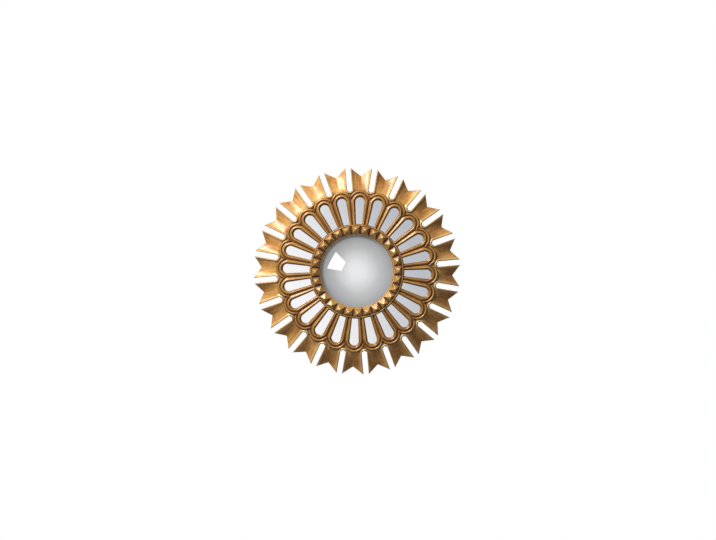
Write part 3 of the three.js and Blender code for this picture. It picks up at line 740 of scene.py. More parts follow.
# Stations along a slot's straight side, and from the slot to the petal's middle line.
SIDE_SHARES = [0, 0.05, 0.1, 0.16, 0.22, 0.28, 0.34, 0.4, 0.46, 0.52, 0.58, 0.64, 0.7, 0.76, 0.82,
               0.87, 0.92, 0.96, 0.98, 0.992, 1]
ACROSS_SHARES = [0, 0.01, 0.022, 0.038, 0.056, 0.076, 0.1, 0.13, 0.165, 0.2, 0.24, 0.28, 0.34,
                 0.41, 0.49, 0.58, 0.67, 0.76, 0.85, 0.93, 0.97, 1]
NOSE_ROWS = 10


def petal_bay(size):
    """One bay of the petal ring: a petal, with half a slot on each side."""
    axis_x, axis_y = sin(HALF_BAY), cos(HALF_BAY)       # along a slot
    slot_half = size.slot_width / 2
    spring = size.slot_start + slot_half
    tip_along = sqrt(size.tip_radius ** 2 - slot_half ** 2)
    # The slot's side of half a petal, as (beside the slot's axis, along it).
    edge = [(0.0, along) for along in steps(SCALLOP_MEET_R, size.slot_start, NOSE_ROWS)]
    edge += [(slot_half * sin(t), spring - slot_half * cos(t)) for t in steps(0, pi / 2, 10)]
    edge += [(slot_half, lerp(spring, tip_along, share)) for share in SIDE_SHARES]
    run = [0.0]
    for (a, b), (c, d) in zip(edge, edge[1:]):
        run.append(run[-1] + hypot(c - a, d - b))
    crown_r = ARCH_CENTRE_R + SCALLOP_RADIUS
    meet = (SCALLOP_MEET_R * axis_x, SCALLOP_MEET_R * axis_y)
    meet_angle = atan2(meet[0], meet[1] - ARCH_CENTRE_R)

    def carved(x, y, across, out):
        """A corner of the carved face: `across` goes from the slot to the petal's middle line,
        and `out` from the arcade to the petal's end."""
        radius = hypot(x, y)
        along, beside = x * axis_x + y * axis_y, y * axis_x - x * axis_y
        ridge = lerp(size.root_height, size.tip_height,
                     (radius - size.slot_start) / (size.tip_radius - size.slot_start))
        depth = lerp(size.root_flute, size.notch_flute,
                     clamp((radius - crown_r) / (size.notch_radius - crown_r)) ** 0.8)
        flute = 0.4 * across + 0.6 * (1 - (1 - across) ** 2)
        round_end = along < spring
        slot = (hypot(beside, spring - along) if round_end else beside) - slot_half
        inward = (spring - along) / max(slot + slot_half, MM) if round_end else 0
        rim = size.rim * (1 - smooth((slot - RIM_CROWN) / RIM_FALL))
        nose = size.nose * smooth((slot - NOSE_START) / NOSE_RUN) * inward
        easing = RIM_EASING * (1 - clamp(slot / RIM_CROWN)) ** 2
        end = (1 - out) * (size.tip_radius - size.slot_start)
        bevel = END_BEVEL * (1 - clamp(end / END_BEVEL_RUN)) ** 2
        scallop = hypot(x, y - ARCH_CENTRE_R) - SCALLOP_RADIUS
        spandrel = bump(hypot(beside, along - SCALLOP_MEET_R), SPANDREL_WIDTH)
        # Painted shade, with glaze: the middle of the flute towards the petal's end, a band along
        # the arcade's scallop, the spandrel and a thin line at the slot's edge.
        hollow = max(0.4 * smooth((across - 0.2) / 0.8) * smooth(out / 0.5),
                     0.4 * bump(scallop, 2.0 * MM), 0.95 * spandrel,
                     0.8 * bump(slot, 1.2 * MM))
        # A painted highlight, with rubbed leaf: a pale band along the slot's rim, strongest round
        # its inner end.
        crest = lerp(0.3, 0.95, max(inward, 0)) * bump(slot - COLLAR, COLLAR_WIDTH)
        return corner(x, y, ridge - depth * flute + rim - nose - easing - bevel,
                      clamp(hollow - crest), crest * (1 - spandrel))

    rows = []
    for (beside, along), reach in zip(edge, run):
        out = reach / run[-1]
        start = (along * axis_x - beside * axis_y, along * axis_y + beside * axis_x)
        middle = lerp(crown_r, size.notch_radius, out)
        row = []
        for across in ACROSS_SHARES:
            turn = meet_angle * (1 - across)
            # How far the arcade's scallop bulges past a straight line.
            bulge = (SCALLOP_RADIUS * sin(turn) - meet[0] * (1 - across),
                     ARCH_CENTRE_R + SCALLOP_RADIUS * cos(turn)
                     - lerp(meet[1], crown_r, across))
            keep = (1 - out) ** 3
            row.append(carved(start[0] * (1 - across) + bulge[0] * keep,
                              lerp(start[1], middle, across) + bulge[1] * keep, across, out))
        rows.append(row)

    shell = Shell()
    shell.strips(rows)
    shell.bridge(rows[-1], sunk(rows[-1], BACK_H))
    shell.drop([row[0] for row in rows[NOSE_ROWS:]], BACK_H)
    bore = [polar(RING_BORE_R, HALF_BAY * (1 - i / 6), SEAT_H, 0, 0, 1) for i in range(7)]
    shell.bridge(shell.drop(rows[0], SEAT_H, 0.4), bore)
    backs = [sunk([row[0], row[-1]], BACK_H) for row in rows]
    shell.bridge(shell.drop(bore, BACK_H), backs[0])
    shell.strips(backs[:-1])
    shell.bridge(backs[-2], sunk(rows[-1], BACK_H))
    shell.mirror()
    return shell.mesh("petal_bay")


class PetalRing(bpy.types.Operator):
    """Carves and gilds the outer ring of fluted petals"""
    bl_idname = "butlers_mirror.petal_ring"
    bl_label = "Petal ring"

    def execute(self, context):
        size = context.scene.mirror_petals
        leaf = gilt("Gilt petals", wear=0.35, toning=0.55)
        carved_ring("petal_ring", petal_bay(size), leaf, BAYS, size.unevenness,
                    wavelength=34 * MM, seed=3, sharp=50)
        return {"FINISHED"}


# ------------------------------------------------------------------ arcade ring
# The moulding's section, as offsets from the edge of an opening: a bevel that reaches in over the
# inset, a narrow bead, a groove and a broad bead.
BEVEL_END = 1.6 * MM
INNER_CREST = 3.4 * MM
GROOVE = 9.0 * MM
OUTER_CREST = 12.6 * MM
BEVEL_FOOT_H = 26.5 * MM
LEG_BEVEL = 0.9 * MM            # how far the bevel reaches in along the legs
CROWN_BEVEL = 2.7 * MM          # and at the crown
BEVEL_RISE = 0.4 * MM
# Painted shade stands round the place where the outer beads of two bays meet.
GLAZE_R, GLAZE_WIDTH = SCALLOP_MEET_R - 3 * MM, 7 * MM


def moulding_height(offset, size):
    """Height of the face at an offset of zero or more."""
    def rounded(crest, side, power, other):
        reach = abs(offset - crest) / side
        return max(1 - reach ** power, 0) ** other

    # The inner bead is steep towards the opening and falls evenly to the groove.
    if offset < INNER_CREST:
        inner = rounded(INNER_CREST, INNER_CREST - BEVEL_END, 2, 0.5)
    else:
        inner = rounded(INNER_CREST, GROOVE - INNER_CREST, 1.3, 1)
    if offset < OUTER_CREST:
        outer = rounded(OUTER_CREST, OUTER_CREST - GROOVE, 1.5, 1)
    else:
        outer = rounded(OUTER_CREST, MOULDING_WIDTH - OUTER_CREST, 2, 0.7)
    inner, outer = inner * size.inner_bead, outer * size.outer_bead
    return ARCADE_BODY_H + BEVEL_RISE * clamp(offset / BEVEL_END) + max(inner, outer)


# The finish of the moulding: painted shade, with glaze, darkens the groove, the foot of the bevel
# round the opening and the outer edge; a painted highlight, with rubbed leaf, pales both beads'
# crests.
def moulding_marks(offset):
    hollow = max(bump(offset - GROOVE, 1.2 * MM), 0.8 * bump(offset - BEVEL_END, 1.1 * MM),
                 0.7 * bump(offset - MOULDING_WIDTH, 1.2 * MM))
    crest = max(0.6 * bump(offset - INNER_CREST, 1.3 * MM),
                0.5 * bump(offset - OUTER_CREST, 1.4 * MM))
    return hollow, crest


def arcade_bay(size):
    """One bay of the arcade ring: an arched opening, with half a leg on each side."""
    # Offsets below zero are shares of the bevel's reach, and one lies level with the shelf.
    level_share = (ARCADE_BODY_H - ARCADE_SHELF_H) / (ARCADE_BODY_H - BEVEL_FOOT_H)
    bevel_shares = [-1.0, -0.9, -level_share]
    rises = [1 - cos(t) for t in steps(0, pi / 2, 6)]
    falls = [sin(t) for t in steps(0, pi / 2, 6)]
    offsets = [0.0] + [lerp(BEVEL_END, INNER_CREST, s) for s in rises]
    offsets += [lerp(INNER_CREST, GROOVE, s) for s in falls]
    offsets += [lerp(GROOVE, OUTER_CREST, s) for s in rises]
    offsets += [lerp(OUTER_CREST, MOULDING_WIDTH, s) for s in falls] + [MOULDING_WIDTH]

    def leg_width(along):
        return along * tan(HALF_BAY - ARCH_HALF)

    def side(along, offset):
        return (along * sin(ARCH_HALF) + offset * cos(ARCH_HALF),
                along * cos(ARCH_HALF) - offset * sin(ARCH_HALF))

    def arch(turn, offset):
        reach = ARCH_RADIUS + offset
        return reach * sin(turn), ARCH_CENTRE_R + reach * cos(turn)

    def to_midline(turn):
        past = sin(turn - HALF_BAY)
        if past <= 0:
            return MOULDING_WIDTH
        return min(ARCH_CENTRE_R * sin(HALF_BAY) / past - ARCH_RADIUS, MOULDING_WIDTH)

    # Stations round half an opening, each a place for any offset, how far the moulding reaches
    # there, how much its section is spread so that the groove follows the line between bays, and
    # the bevel's reach.
    spring_along = sqrt(ARCH_CENTRE_R ** 2 - ARCH_RADIUS ** 2)
    spring_turn = pi / 2 + ARCH_HALF
    notch_turn = HALF_BAY + asin(ARCH_CENTRE_R * sin(HALF_BAY) / (ARCH_RADIUS + MOULDING_WIDTH))
    spring_spread = leg_width(spring_along) / GROOVE
    stations = []
    for along in steps(ARCH_FOOT_R, spring_along, 12):
        width = leg_width(along)
        stations.append((lambda o, a=along: side(a, o), width, width / GROOVE, LEG_BEVEL))
    for turn in steps(spring_turn, notch_turn, 18) + steps(notch_turn, 0, 18) + [0]:
        spread = lerp(1, spring_spread, clamp((turn - notch_turn) / (spring_turn - notch_turn)))
        bevel = lerp(LEG_BEVEL, CROWN_BEVEL, max(cos(turn), 0))
        stations.append((lambda o, t=turn: arch(t, o), to_midline(turn), spread, bevel))

    glazed = GLAZE_R * Vector((sin(HALF_BAY), cos(HALF_BAY)))

    def section(place, limit, spread, bevel):
        # The bevel down into the opening darkens towards its foot, a painted shadow.
        row = [corner(*place(share * bevel), lerp(ARCADE_BODY_H, BEVEL_FOOT_H, -share),
                      0.4 * -share) for share in bevel_shares]
        for offset in offsets:
            reached = min(offset * spread, limit)
            hollow, crest = moulding_marks(reached / spread)
            # Painted shade darkens the line where the mouldings of two bays meet, and the spandrel
            # round it.
            if reached == limit < MOULDING_WIDTH:
                hollow, crest = max(hollow, 0.8), 0
            hollow = max(hollow, 0.9 * bump((Vector(place(reached)) - glazed).length, GLAZE_WIDTH))
            row.append(corner(*place(reached), moulding_height(reached / spread, size),
                              hollow, crest * (1 - hollow)))
        return row

    rows = [section(*station) for station in stations]
    # At the foot the moulding runs on to the bezel, over the shelf.
    foot_r = BEZEL_R + FIT
    foot_turns = [ARCH_HALF + share * LEG_BEVEL / foot_r for share in bevel_shares]
    foot_turns += [lerp(ARCH_HALF, HALF_BAY, min(offset / GROOVE, 1)) for offset in offsets]
    raised = [(Vector((place.x, min(place.y, -ARCADE_SHELF_H), place.z)), marks)
              for place, marks in rows[0]]
    foot = [polar(foot_r, turn, -place.y, *marks)
            for turn, (place, marks) in zip(foot_turns, raised)]
    sill_steps = [i / 5 for i in range(5)]
    lip_turn = atan2(rows[0][0][0].x, rows[0][0][0].z)
    # The sill, its foot, the step at the bezel and the top of the bore are darkened, a painted
    # shade.
    sill = [polar(ARCH_FOOT_R, lip_turn * s, ARCADE_SHELF_H, 0.7) for s in sill_steps]
    sill.append(raised[0])
    sill_foot = [polar(foot_r, foot_turns[0] * s, ARCADE_SHELF_H, 0.7) for s in sill_steps]

    shell = Shell()
    shell.strips([foot, raised])
    shell.strips(rows)
    count = len(bevel_shares)
    shell.strip(raised[:count], rows[0][:count])
    step = sill_foot + [polar(foot_r, turn, ARCADE_SHELF_H, 0.9) for turn in foot_turns]
    shell.strip(foot, step[len(sill_foot):])
    bore_top = [polar(ARCADE_BORE_R, atan2(place.x, place.z), ARCADE_SHELF_H, 0.5, 0, 1)
                for place, _ in step]
    shell.strip(bore_top, step)
    shell.strip(sill_foot + foot[:1], sill)
    # The walls of the opening, down to the ceiling of the inset's pocket.
    low_sill = sunk(sill, POCKET_H, 0.3)
    shell.strip(sill[:-1], low_sill[:-1])
    shell.faces.append([sill[-2], sill[-1], rows[0][0], low_sill[-1], low_sill[-2]])
    low_sights = shell.drop([row[0] for row in rows], POCKET_H, 0.3)
    # The pocket and the flat back.
    pocket_foot = ARCH_FOOT_R - POCKET_LAP
    corner_at = side(pocket_foot / cos(ARCH_HALF) + 0.2 * MM, POCKET_LAP)
    corner_turn = atan2(corner_at[0], corner_at[1])
    ceiling = [polar(pocket_foot, corner_turn * s, POCKET_H, 0, 0, 1) for s in sill_steps + [1]]
    ceiling += [corner(*place(POCKET_LAP), POCKET_H, 0, 0, 1) for place, *_ in stations[1:]]
    shell.strip(low_sill + low_sights[1:], ceiling)
    pocket = shell.drop(ceiling, ARCADE_BACK_H)
    bore = shell.drop(bore_top, ARCADE_BACK_H)
    shell.bridge(pocket[:len(sill)], bore)
    outer = [bore[-1]] + sunk([row[-1] for row in rows[1:]], ARCADE_BACK_H)
    shell.strip(pocket[len(sill) - 1:], outer)
    shell.drop([row[-1] for row, (_, limit, *_) in zip(rows, stations)
                if limit >= MOULDING_WIDTH - 1e-9], ARCADE_BACK_H)
    shell.mirror()
    return shell.mesh("arcade_bay")


class ArcadeRing(bpy.types.Operator):
    """Carves and gilds the ring of arched openings with its double-beaded moulding"""
    bl_idname = "butlers_mirror.arcade_ring"
    bl_label = "Arcade ring"

    def execute(self, context):
        size = context.scene.mirror_arcade
        # The arcade's leaf is dimmed all over by `depth`, a painted shade.
        leaf = gilt("Gilt arcade", wear=0.3, toning=0.65, depth=(0.75, 0.68, 0.52))
        carved_ring("arcade_ring", arcade_bay(size), leaf, BAYS, size.unevenness,
                    wavelength=22 * MM, seed=11, sharp=50)
        return {"FINISHED"}


# ------------------------------------------------------------------ studded bezel
SIGHT_R = 99 * MM
STUD_FOOT_R = 100.8 * MM
STUD_APEX_R = 113.5 * MM
BEAD_R = 122.5 * MM
BEZEL_BACK_H = 12.7 * MM
BEZEL_LIP_H = 27.5 * MM
BEZEL_PLAY = 0.4 * MM           # round the glass and in the arcade's bore
RIDGE_CUT, RIDGE_WIDTH = 0.14 * MM, 0.35 * MM       # how the studs' ridges are rounded
STUD_TOP_SHARES = [0, 0.3, 0.6, 0.84, 0.95, 1]
STUD_SIDE_SHARES = [0.05, 0.16, 0.4, 0.7, 1]
BEAD_TURNS = [20, 45, 70, 90, 110, 135, 160, 180]


def bezel_bay(size):
    """One bay of the bezel: a four-sided stud between the sight edge and the thin outer bead."""
    half = pi / size.studs
    rise = size.apex_height - lerp(size.foot_height, size.shoulder_height,
                                   (STUD_APEX_R - STUD_FOOT_R) / (BEAD_R - STUD_FOOT_R))

    def stud_row(radius):
        valley = lerp(size.foot_height, size.shoulder_height,
                      (radius - STUD_FOOT_R) / (BEAD_R - STUD_FOOT_R))
        if radius < STUD_APEX_R:
            face = lerp(size.foot_height, size.apex_height,
                        (radius - STUD_FOOT_R) / (STUD_APEX_R - STUD_FOOT_R))
        else:
            face = lerp(size.apex_height, size.shoulder_height,
                        (radius - STUD_APEX_R) / (BEAD_R - STUD_APEX_R))
        crease = 1 - (face - valley) / rise
        row = []
        for share in ([s * crease for s in STUD_TOP_SHARES]
                      + [lerp(crease, 1, s) for s in STUD_SIDE_SHARES]):
            flank = valley + (1 - share) * rise
            # The ridges are rounded by a smooth minimum.
            gap = abs(face - flank)
            height = min(face, flank) - RIDGE_CUT * exp(-gap / RIDGE_WIDTH)
            # Painted shade, with glaze, darkens the valleys, the groove at the bead, the outer
            # facets and the studs' feet.
            hollow = max(smooth((share - 0.35) / 0.6), bump(radius - BEAD_R, 1.6 * MM),
                         0.55 * smooth((radius - STUD_APEX_R - MM) / (3 * MM)),
                         0.3 * bump(radius - STUD_FOOT_R, 1.5 * MM))
            # A painted highlight, with rubbed leaf, pales the ridges and a spot round each apex.
            crest = bump(gap, 0.8 * MM) * smooth((height - valley) / (2.5 * MM))
            from_apex = hypot(radius - STUD_APEX_R, share * half * radius)
            crest = max(crest * 0.7, bump(from_apex, 4.5 * MM)) * (1 - hollow)
            row.append(polar(radius, share * half, height, hollow, crest))
        return row

    def turned_row(radius, h, *marks):
        return [polar(radius, share * half, h, *marks)
                for share in STUD_TOP_SHARES + [1] * len(STUD_SIDE_SHARES)]

    spigot_r = ARCADE_BORE_R - BEZEL_PLAY
    bore_r = GLASS_R + BEZEL_PLAY
    flange_h = ARCADE_SHELF_H + FIT
    ledge_h = glass_height(SIGHT_R) + FIT
    radii = ([STUD_FOOT_R + 0.25 * MM, STUD_FOOT_R + 0.7 * MM]
             + steps(STUD_FOOT_R + 1.4 * MM, STUD_APEX_R, 9)
             + steps(STUD_APEX_R, BEAD_R - 0.8 * MM, 8)
             + [BEAD_R - 0.8 * MM, BEAD_R - 0.4 * MM, BEAD_R])
    # The ledge at the sight edge is darkened, a painted shade, and the lip above it paled, a
    # painted highlight with rubbed leaf.
    rows = [turned_row(SIGHT_R, ledge_h, 0.8), turned_row(SIGHT_R, BEZEL_LIP_H, 0.5, 0.2),
            turned_row(SIGHT_R + 0.4 * MM, BEZEL_LIP_H + 0.9 * MM, 0.15, 0.5),
            turned_row(lerp(SIGHT_R, STUD_FOOT_R, 0.6), lerp(BEZEL_LIP_H, size.foot_height, 0.66),
                       0.1, 0.5)]
    rows += [stud_row(STUD_FOOT_R)] + [stud_row(radius) for radius in radii]
    bead_half = (BEZEL_R - BEAD_R) / 2
    # The bead is darkened at its edges and at the flange below it, a painted shade, and paled on
    # its top, a painted highlight with rubbed leaf.
    for turn in BEAD_TURNS:
        reach = radians(turn)
        rows.append(turned_row(
            BEAD_R + bead_half * (1 - cos(reach)),
            size.shoulder_height + (size.bead_height - size.shoulder_height) * sin(reach),
            0.8 if turn in (20, 160) else 0.3, 0.4 if 45 < turn < 135 else 0))
    rows.append(turned_row(BEZEL_R, flange_h, 0.8))
    rows += [turned_row(r, h, 0, 0, 1) for r, h in (
        (spigot_r, flange_h), (spigot_r, BEZEL_BACK_H), (bore_r, BEZEL_BACK_H), (bore_r, ledge_h))]
    rows.append(rows[0])
    shell = Shell()
    shell.strips(rows)
    shell.mirror()
    return shell.mesh("bezel_bay")


class StuddedBezel(bpy.types.Operator):
    """Carves and gilds the ring of faceted studs round the convex glass"""
    bl_idname = "butlers_mirror.studded_bezel"
    bl_label = "Studded bezel"

    def execute(self, context):
        size = context.scene.mirror_bezel
        # The bezel's leaf is dimmed all over by `depth`, a painted shade.
        leaf = gilt("Gilt bezel", wear=0.2, toning=0.5, depth=(0.78, 0.72, 0.58))
        carved_ring("studded_bezel", bezel_bay(size), leaf, size.studs, size.unevenness,
                    wavelength=9 * MM, seed=23, sharp=40, first_angle=size.first_stud)
        return {"FINISHED"}


# ------------------------------------------------------------------ glass
def sagitta(radius, curve):
    return curve - sqrt(curve ** 2 - radius ** 2)


def glass_height(radius):
    curve = bpy.context.scene.mirror_glass.curve
    return GLASS_RIM_H + sagitta(GLASS_R, curve) - sagitta(radius, curve)


class Glass(bpy.types.Operator):
    """Bends and silvers the convex glass, and silvers the flat arched insets"""
    bl_idname = "butlers_mirror.glass"
    bl_label = "Glass"

    def execute(self, context):
        size = context.scene.mirror_glass
        back_curve = size.curve - size.thickness
        back_rim = GLASS_RIM_H - size.thickness
        ease = 0.4 * MM
        radii = steps(0, GLASS_R - ease, 26) + [GLASS_R - ease]
        front = [(r, glass_height(r)) for r in radii]
        back = [(r, back_rim + sagitta(GLASS_R, back_curve) - sagitta(r, back_curve))
                for r in radii]
        rim = [(GLASS_R, back_rim + ease), (GLASS_R, GLASS_RIM_H - ease)]
        mesh = lathe("convex_glass", back + rim + front[::-1], 160)
        finish_piece("silvered_convex_glass", mesh, "frame", "mirror_glass", "convex_glass",
                     material=mirror_glass("Silvered convex glass", smudge=0.02))
        silvering = inset_mirror("Silvered inset")
        for name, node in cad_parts.items():
            if name.startswith("inset_mirror"):
                node.material_slots[0].material = silvering
        return {"FINISHED"}


# ------------------------------------------------------------------ boards and pad
class Backing(bpy.types.Operator):
    """Cuts the backing board, the backing disc and the felt pad"""
    bl_idname = "butlers_mirror.backing"
    bl_label = "Boards and pad"

    def execute(self, context):
        felt = speckled("Black felt", tones().felt, dark=2.4, scale=1500, amount=0.7,
                        roughness=0.95, depth=0.15 * MM)
        # Name, node, slot, material, inner and outer radius, back and front height, and easing.
        for name, node, slot, material, *sizes in (
            ("brown_backing_board", "inset_backing_board", "hardboard", hardboard(),
             119, 203.958, 19.4, 22.4, 0.35),
            ("brown_backing_disc", "glass_backing_disc", "hardboard", hardboard(),
             0, 101.7, 13.0, 18.0, 0.35),
            ("felt_pad_ring", "glass_pad_ring", "felt", felt, 91.7, 101.7, 18.3, 20.5, 0.6),
        ):
            mesh = lathe(node, eased(*[value * MM for value in sizes]), 144)
            finish_piece(name, mesh, "frame", slot, node, material=material)
        return {"FINISHED"}


# ------------------------------------------------------------------ screws
BUTTON_PIVOT_R = 110 * MM
BOARD_SCREW_R = 165 * MM
HANGER_SCREW_DROP, HANGER_SCREW_STEP = 8.5 * MM, 13.5 * MM
SLOT_TURN = 1.6                 # how far a screw's slot may stand off, in radians


def screw(size, length):
    """A slotted round-headed wood screw at the axis, its head's seat on the wall plane."""
    head, height = size.head_radius, size.head_height
    rim, core, crest, pitch = 0.35 * MM, 1.15 * MM, 1.4 * MM, 1.1 * MM
    profile = [(head * sin(t), -rim - (height - rim) * cos(t)) for t in steps(0, pi / 2, 6)]
    profile += [(head, -rim), (head, -0.1 * MM), (head - 0.1 * MM, 0), (crest, 0)]
    for i in range(int((length - 4.4 * MM) / pitch)):
        start = 0.8 * MM + i * pitch
        profile += [(core, start), (crest, start + 0.4 * pitch), (core, start + 0.8 * pitch)]
    profile += [(core, length - 3 * MM), (0, length)]
    # The slot is a notch cut across the head.
    body = new_object("screw_body", lathe("screw", profile, 24))
    tool = new_object("slot_tool", bpy.data.meshes.new("slot_tool"))
    box = bmesh.new()
    bmesh.ops.create_cube(box, size=1, matrix=Matrix.Translation((0, height, 0))
                          @ Matrix.Diagonal((size.slot_width, 1.8 * MM, 4 * head, 1)))
    box.to_mesh(tool.data)
    box.free()
    cut = body.modifiers.new("Slot", "BOOLEAN")
    cut.object, cut.operation, cut.solver = tool, "DIFFERENCE", "EXACT"
    made = outcome(body)
    bpy.data.objects.remove(tool)
    return made


def screw_at(size, length, seat_h, turn=0.0):
    mesh = screw(size, length)
    mesh.transform(Matrix.Translation((0, -seat_h, 0)) @ Matrix.Rotation(turn, 4, "Y"))
    return mesh


class Screws(bpy.types.Operator):
    """Turns the screws that hold the board, the turn buttons and the hangers"""
    bl_idname = "butlers_mirror.screws"
    bl_label = "Screws"

    def execute(self, context):
        size = context.scene.mirror_fittings
        board = ring_of(screw_at(size, length=7 * MM, seat_h=19.1 * MM), steel(), 6,
                        first_angle=HALF_BAY, radius=BOARD_SCREW_R, random_turn=SLOT_TURN, seed=5)
        finish_piece("board_screws", board, "frame", "steel",
                     *[f"board_screw_{i}" for i in range(1, 7)])
        button = ring_of(screw_at(size, length=11 * MM, seat_h=10.1 * MM), brass(), 4,
                         first_angle=pi / 4, radius=BUTTON_PIVOT_R, random_turn=SLOT_TURN, seed=8)
        finish_piece("turn_button_screws", button, "frame", "brass",
                     *[f"turn_button_screw_{i}" for i in range(1, 5)])
        pair = row_of(screw_at(size, length=9 * MM, seat_h=5.0 * MM, turn=0.7), steel(),
                      (0, 0, EYE_Z - HANGER_SCREW_DROP), (0, 0, -HANGER_SCREW_STEP))
        hangers = row_of(pair, steel(), (-HANGER_X, 0, 0), (2 * HANGER_X, 0, 0))
        finish_piece("hanger_screws", hangers, "frame", "steel",
                     *[f"hanger_screw_{side}_{i}" for side in ("left", "right") for i in (1, 2)])
        return {"FINISHED"}


# ------------------------------------------------------------------ turn buttons
def turn_button(size):
    """A turn button at the top, its long end pointing to the mirror's axis."""
    half = size.button_width / 2
    tail = 7 * MM
    low, high, bevel = 10.4 * MM, 12.4 * MM, 0.35 * MM
    hole_r, hole_bevel_r, hole_bevel_h = 1.8 * MM, 2.2 * MM, low + 0.3 * MM
    arc = steps(0, pi, 16) + [pi]

    def outline(inset, h):
        r = half - inset
        upper = [corner(r * cos(t), tail - half + r * sin(t), h) for t in arc]
        tip = tail - size.button_length + half
        lower = [corner(-r * cos(t), tip - r * sin(t), h) for t in arc]
        return upper + lower + upper[:1]

    def hole(radius, h):
        return [corner(radius * cos(tau * i / 32), radius * sin(tau * i / 32), h)
                for i in range(33)]

    shell = Shell()
    shell.strips([outline(bevel, low), outline(0, low + bevel), outline(0, high - bevel),
                  outline(bevel, high)])
    shell.bridge(outline(bevel, high), hole(hole_r, high))
    shell.strips([hole(hole_r, high), hole(hole_r, hole_bevel_h), hole(hole_bevel_r, low)])
    shell.bridge(hole(hole_bevel_r, low), outline(bevel, low))
    return shell.mesh("turn_button")


class TurnButtons(bpy.types.Operator):
    """Cuts the four brass turn buttons that hold the backing disc"""
    bl_idname = "butlers_mirror.turn_buttons"
    bl_label = "Turn buttons"

    def execute(self, context):
        for i in range(4):
            mesh = ring_of(turn_button(context.scene.mirror_fittings), brass(), 1,
                           first_angle=radians(45 + 90 * i), radius=BUTTON_PIVOT_R)
            finish_piece(f"brass_turn_button_{i + 1}", mesh, f"turn_button_{i + 1}", "brass",
                         f"turn_button_{i + 1}")
        return {"FINISHED"}


# ------------------------------------------------------------------ hangers
def strap(size):
    """A strap folded round the ring's bar, at the middle and level with the bar."""
    wall, eye, bevel = 1.2 * MM, 1.6 * MM, 0.25 * MM
    curl = eye + wall
    half = size.strap_width / 2
    foot = -28 * MM
    wrap = steps(radians(-50), pi, 24)              # the curl's turns round the bar
    # The strap's outline, as (depth towards the wood, up): round the curl, down the side that lies
    # on the wood, and back up the other.
    outer = [(-curl * cos(t), curl * sin(t)) for t in wrap]
    outer += [(curl, 0), (curl, foot)]
    outer += [(curl - part * wall, foot) for part in (1, 1.04, 2)]
    outer.append((curl - 2 * wall, -curl - 0.4 * MM))

    def edge(points, x):
        return [corner(x, up, EYE_H + depth) for depth, up in points]

    loop = outer + outer[:1]
    middle_depth = curl - wall

    def drawn_in(points):
        moved = []
        for depth, up in points:
            centre = Vector((0, max(up, 0))) if up > -curl else Vector((middle_depth, up))
            away = Vector((depth, up)) - centre
            moved.append(tuple(Vector((depth, up)) - away.normalized() * bevel)
                         if away.length > bevel else (depth, up))
        return moved

    inner_loop = drawn_in(outer)
    inner_loop += inner_loop[:1]
    # The eye: the arc that faces the curl, then the one that faces the strap's tail.
    back_turns = steps(pi, radians(310), 8) + [radians(310)]
    arc, back_arc = ([(-eye * cos(t), eye * sin(t)) for t in part]
                     for part in (wrap + [pi], back_turns))
    shell = Shell()
    shell.strips([edge(inner_loop, -half), edge(loop, -half + bevel), edge(loop, half - bevel),
                  edge(inner_loop, half)])
    shell.strip(edge(arc + back_arc[1:], -half), edge(arc + back_arc[1:], half))
    for x in (-half, half):
        shell.strip(edge(arc, x), edge(inner_loop[:len(arc)], x))
        shell.faces.append(edge(inner_loop[len(arc) - 1:] + back_arc[::-1], x))
    return shell.mesh("hanger_strap")


def ring_line():
    """The middle line of a ring's wire: a D that stands on its bar and leans on the frame."""
    half, side, bend = 8.3 * MM, 6 * MM, 2 * MM

    def arc(x, z, radius, start, end, count):
        return [(x + radius * cos(radians(t)), z + radius * sin(radians(t)))
                for t in steps(start, end, count) + [end]]

    line = arc(half - bend, bend, bend, -90, 0, 6) + arc(0, side, half, 0, 180, 28)
    line += arc(bend - half, bend, bend, 180, 270, 6)
    lean = radians(4)
    places = [Vector((x, -z * sin(lean), z * cos(lean))) for x, z in line]
    joins = [(i, (i + 1) % len(places)) for i in range(len(places))]
    return new_mesh("ring_line", places, joins, [])


class Hangers(bpy.types.Operator):
    """Bends the two straps and the two D-shaped rings"""
    bl_idname = "butlers_mirror.hangers"
    bl_label = "Hangers"

    def execute(self, context):
        size = context.scene.mirror_fittings
        straps = row_of(strap(size), steel(), (-HANGER_X, 0, EYE_Z), (2 * HANGER_X, 0, 0))
        finish_piece("folded_hanger_straps", straps, "frame", "steel",
                     "hanger_strap_left", "hanger_strap_right")
        for side, x in (("left", -HANGER_X), ("right", HANGER_X)):
            wire = grow(ring_line(), wire_tree(), wire_radius=size.wire / 2, material=steel())
            wire.transform(Matrix.Translation((x, -EYE_H, EYE_Z)))
            finish_piece(f"wire_hanger_ring_{side}", wire, f"hanger_ring_{side}", "steel",
                         f"hanger_ring_{side}")
        return {"FINISHED"}


# ------------------------------------------------------------------ bumpers
BUMPER_PLACE_R = 236 * MM


class Bumpers(bpy.types.Operator):
    """Moulds the four wall bumpers"""
    bl_idname = "butlers_mirror.bumpers"
    bl_label = "Bumpers"

    def execute(self, context):
        radius = context.scene.mirror_fittings.bumper_radius
        bend, dish = 1.6 * MM, 0.12 * MM
        face = radius - bend
        profile = [(0, 0), (face * 0.6, 0.02 * MM), (face, dish)]
        profile += [(face + bend * sin(t), dish + bend * (1 - cos(t)))
                    for t in steps(0, pi / 2, 6)[1:]]
        top, ease = 7.7 * MM, 0.2 * MM
        profile += [(radius, 1.9 * MM), (radius, 7.5 * MM), (radius - ease, top), (0, top)]
        mesh = lathe("bumper", profile, 40)
        rubber = speckled("Off-white rubber", tones().rubber, dark=0.8, scale=300, amount=0.5,
                          roughness=0.55, depth=0.05 * MM)
        mesh = ring_of(mesh, rubber, 4, first_angle=pi / 4, radius=BUMPER_PLACE_R)
        finish_piece("rubber_wall_bumpers", mesh, "frame", "rubber",
                     *[f"wall_bumper_{i}" for i in range(1, 5)])
        return {"FINISHED"}


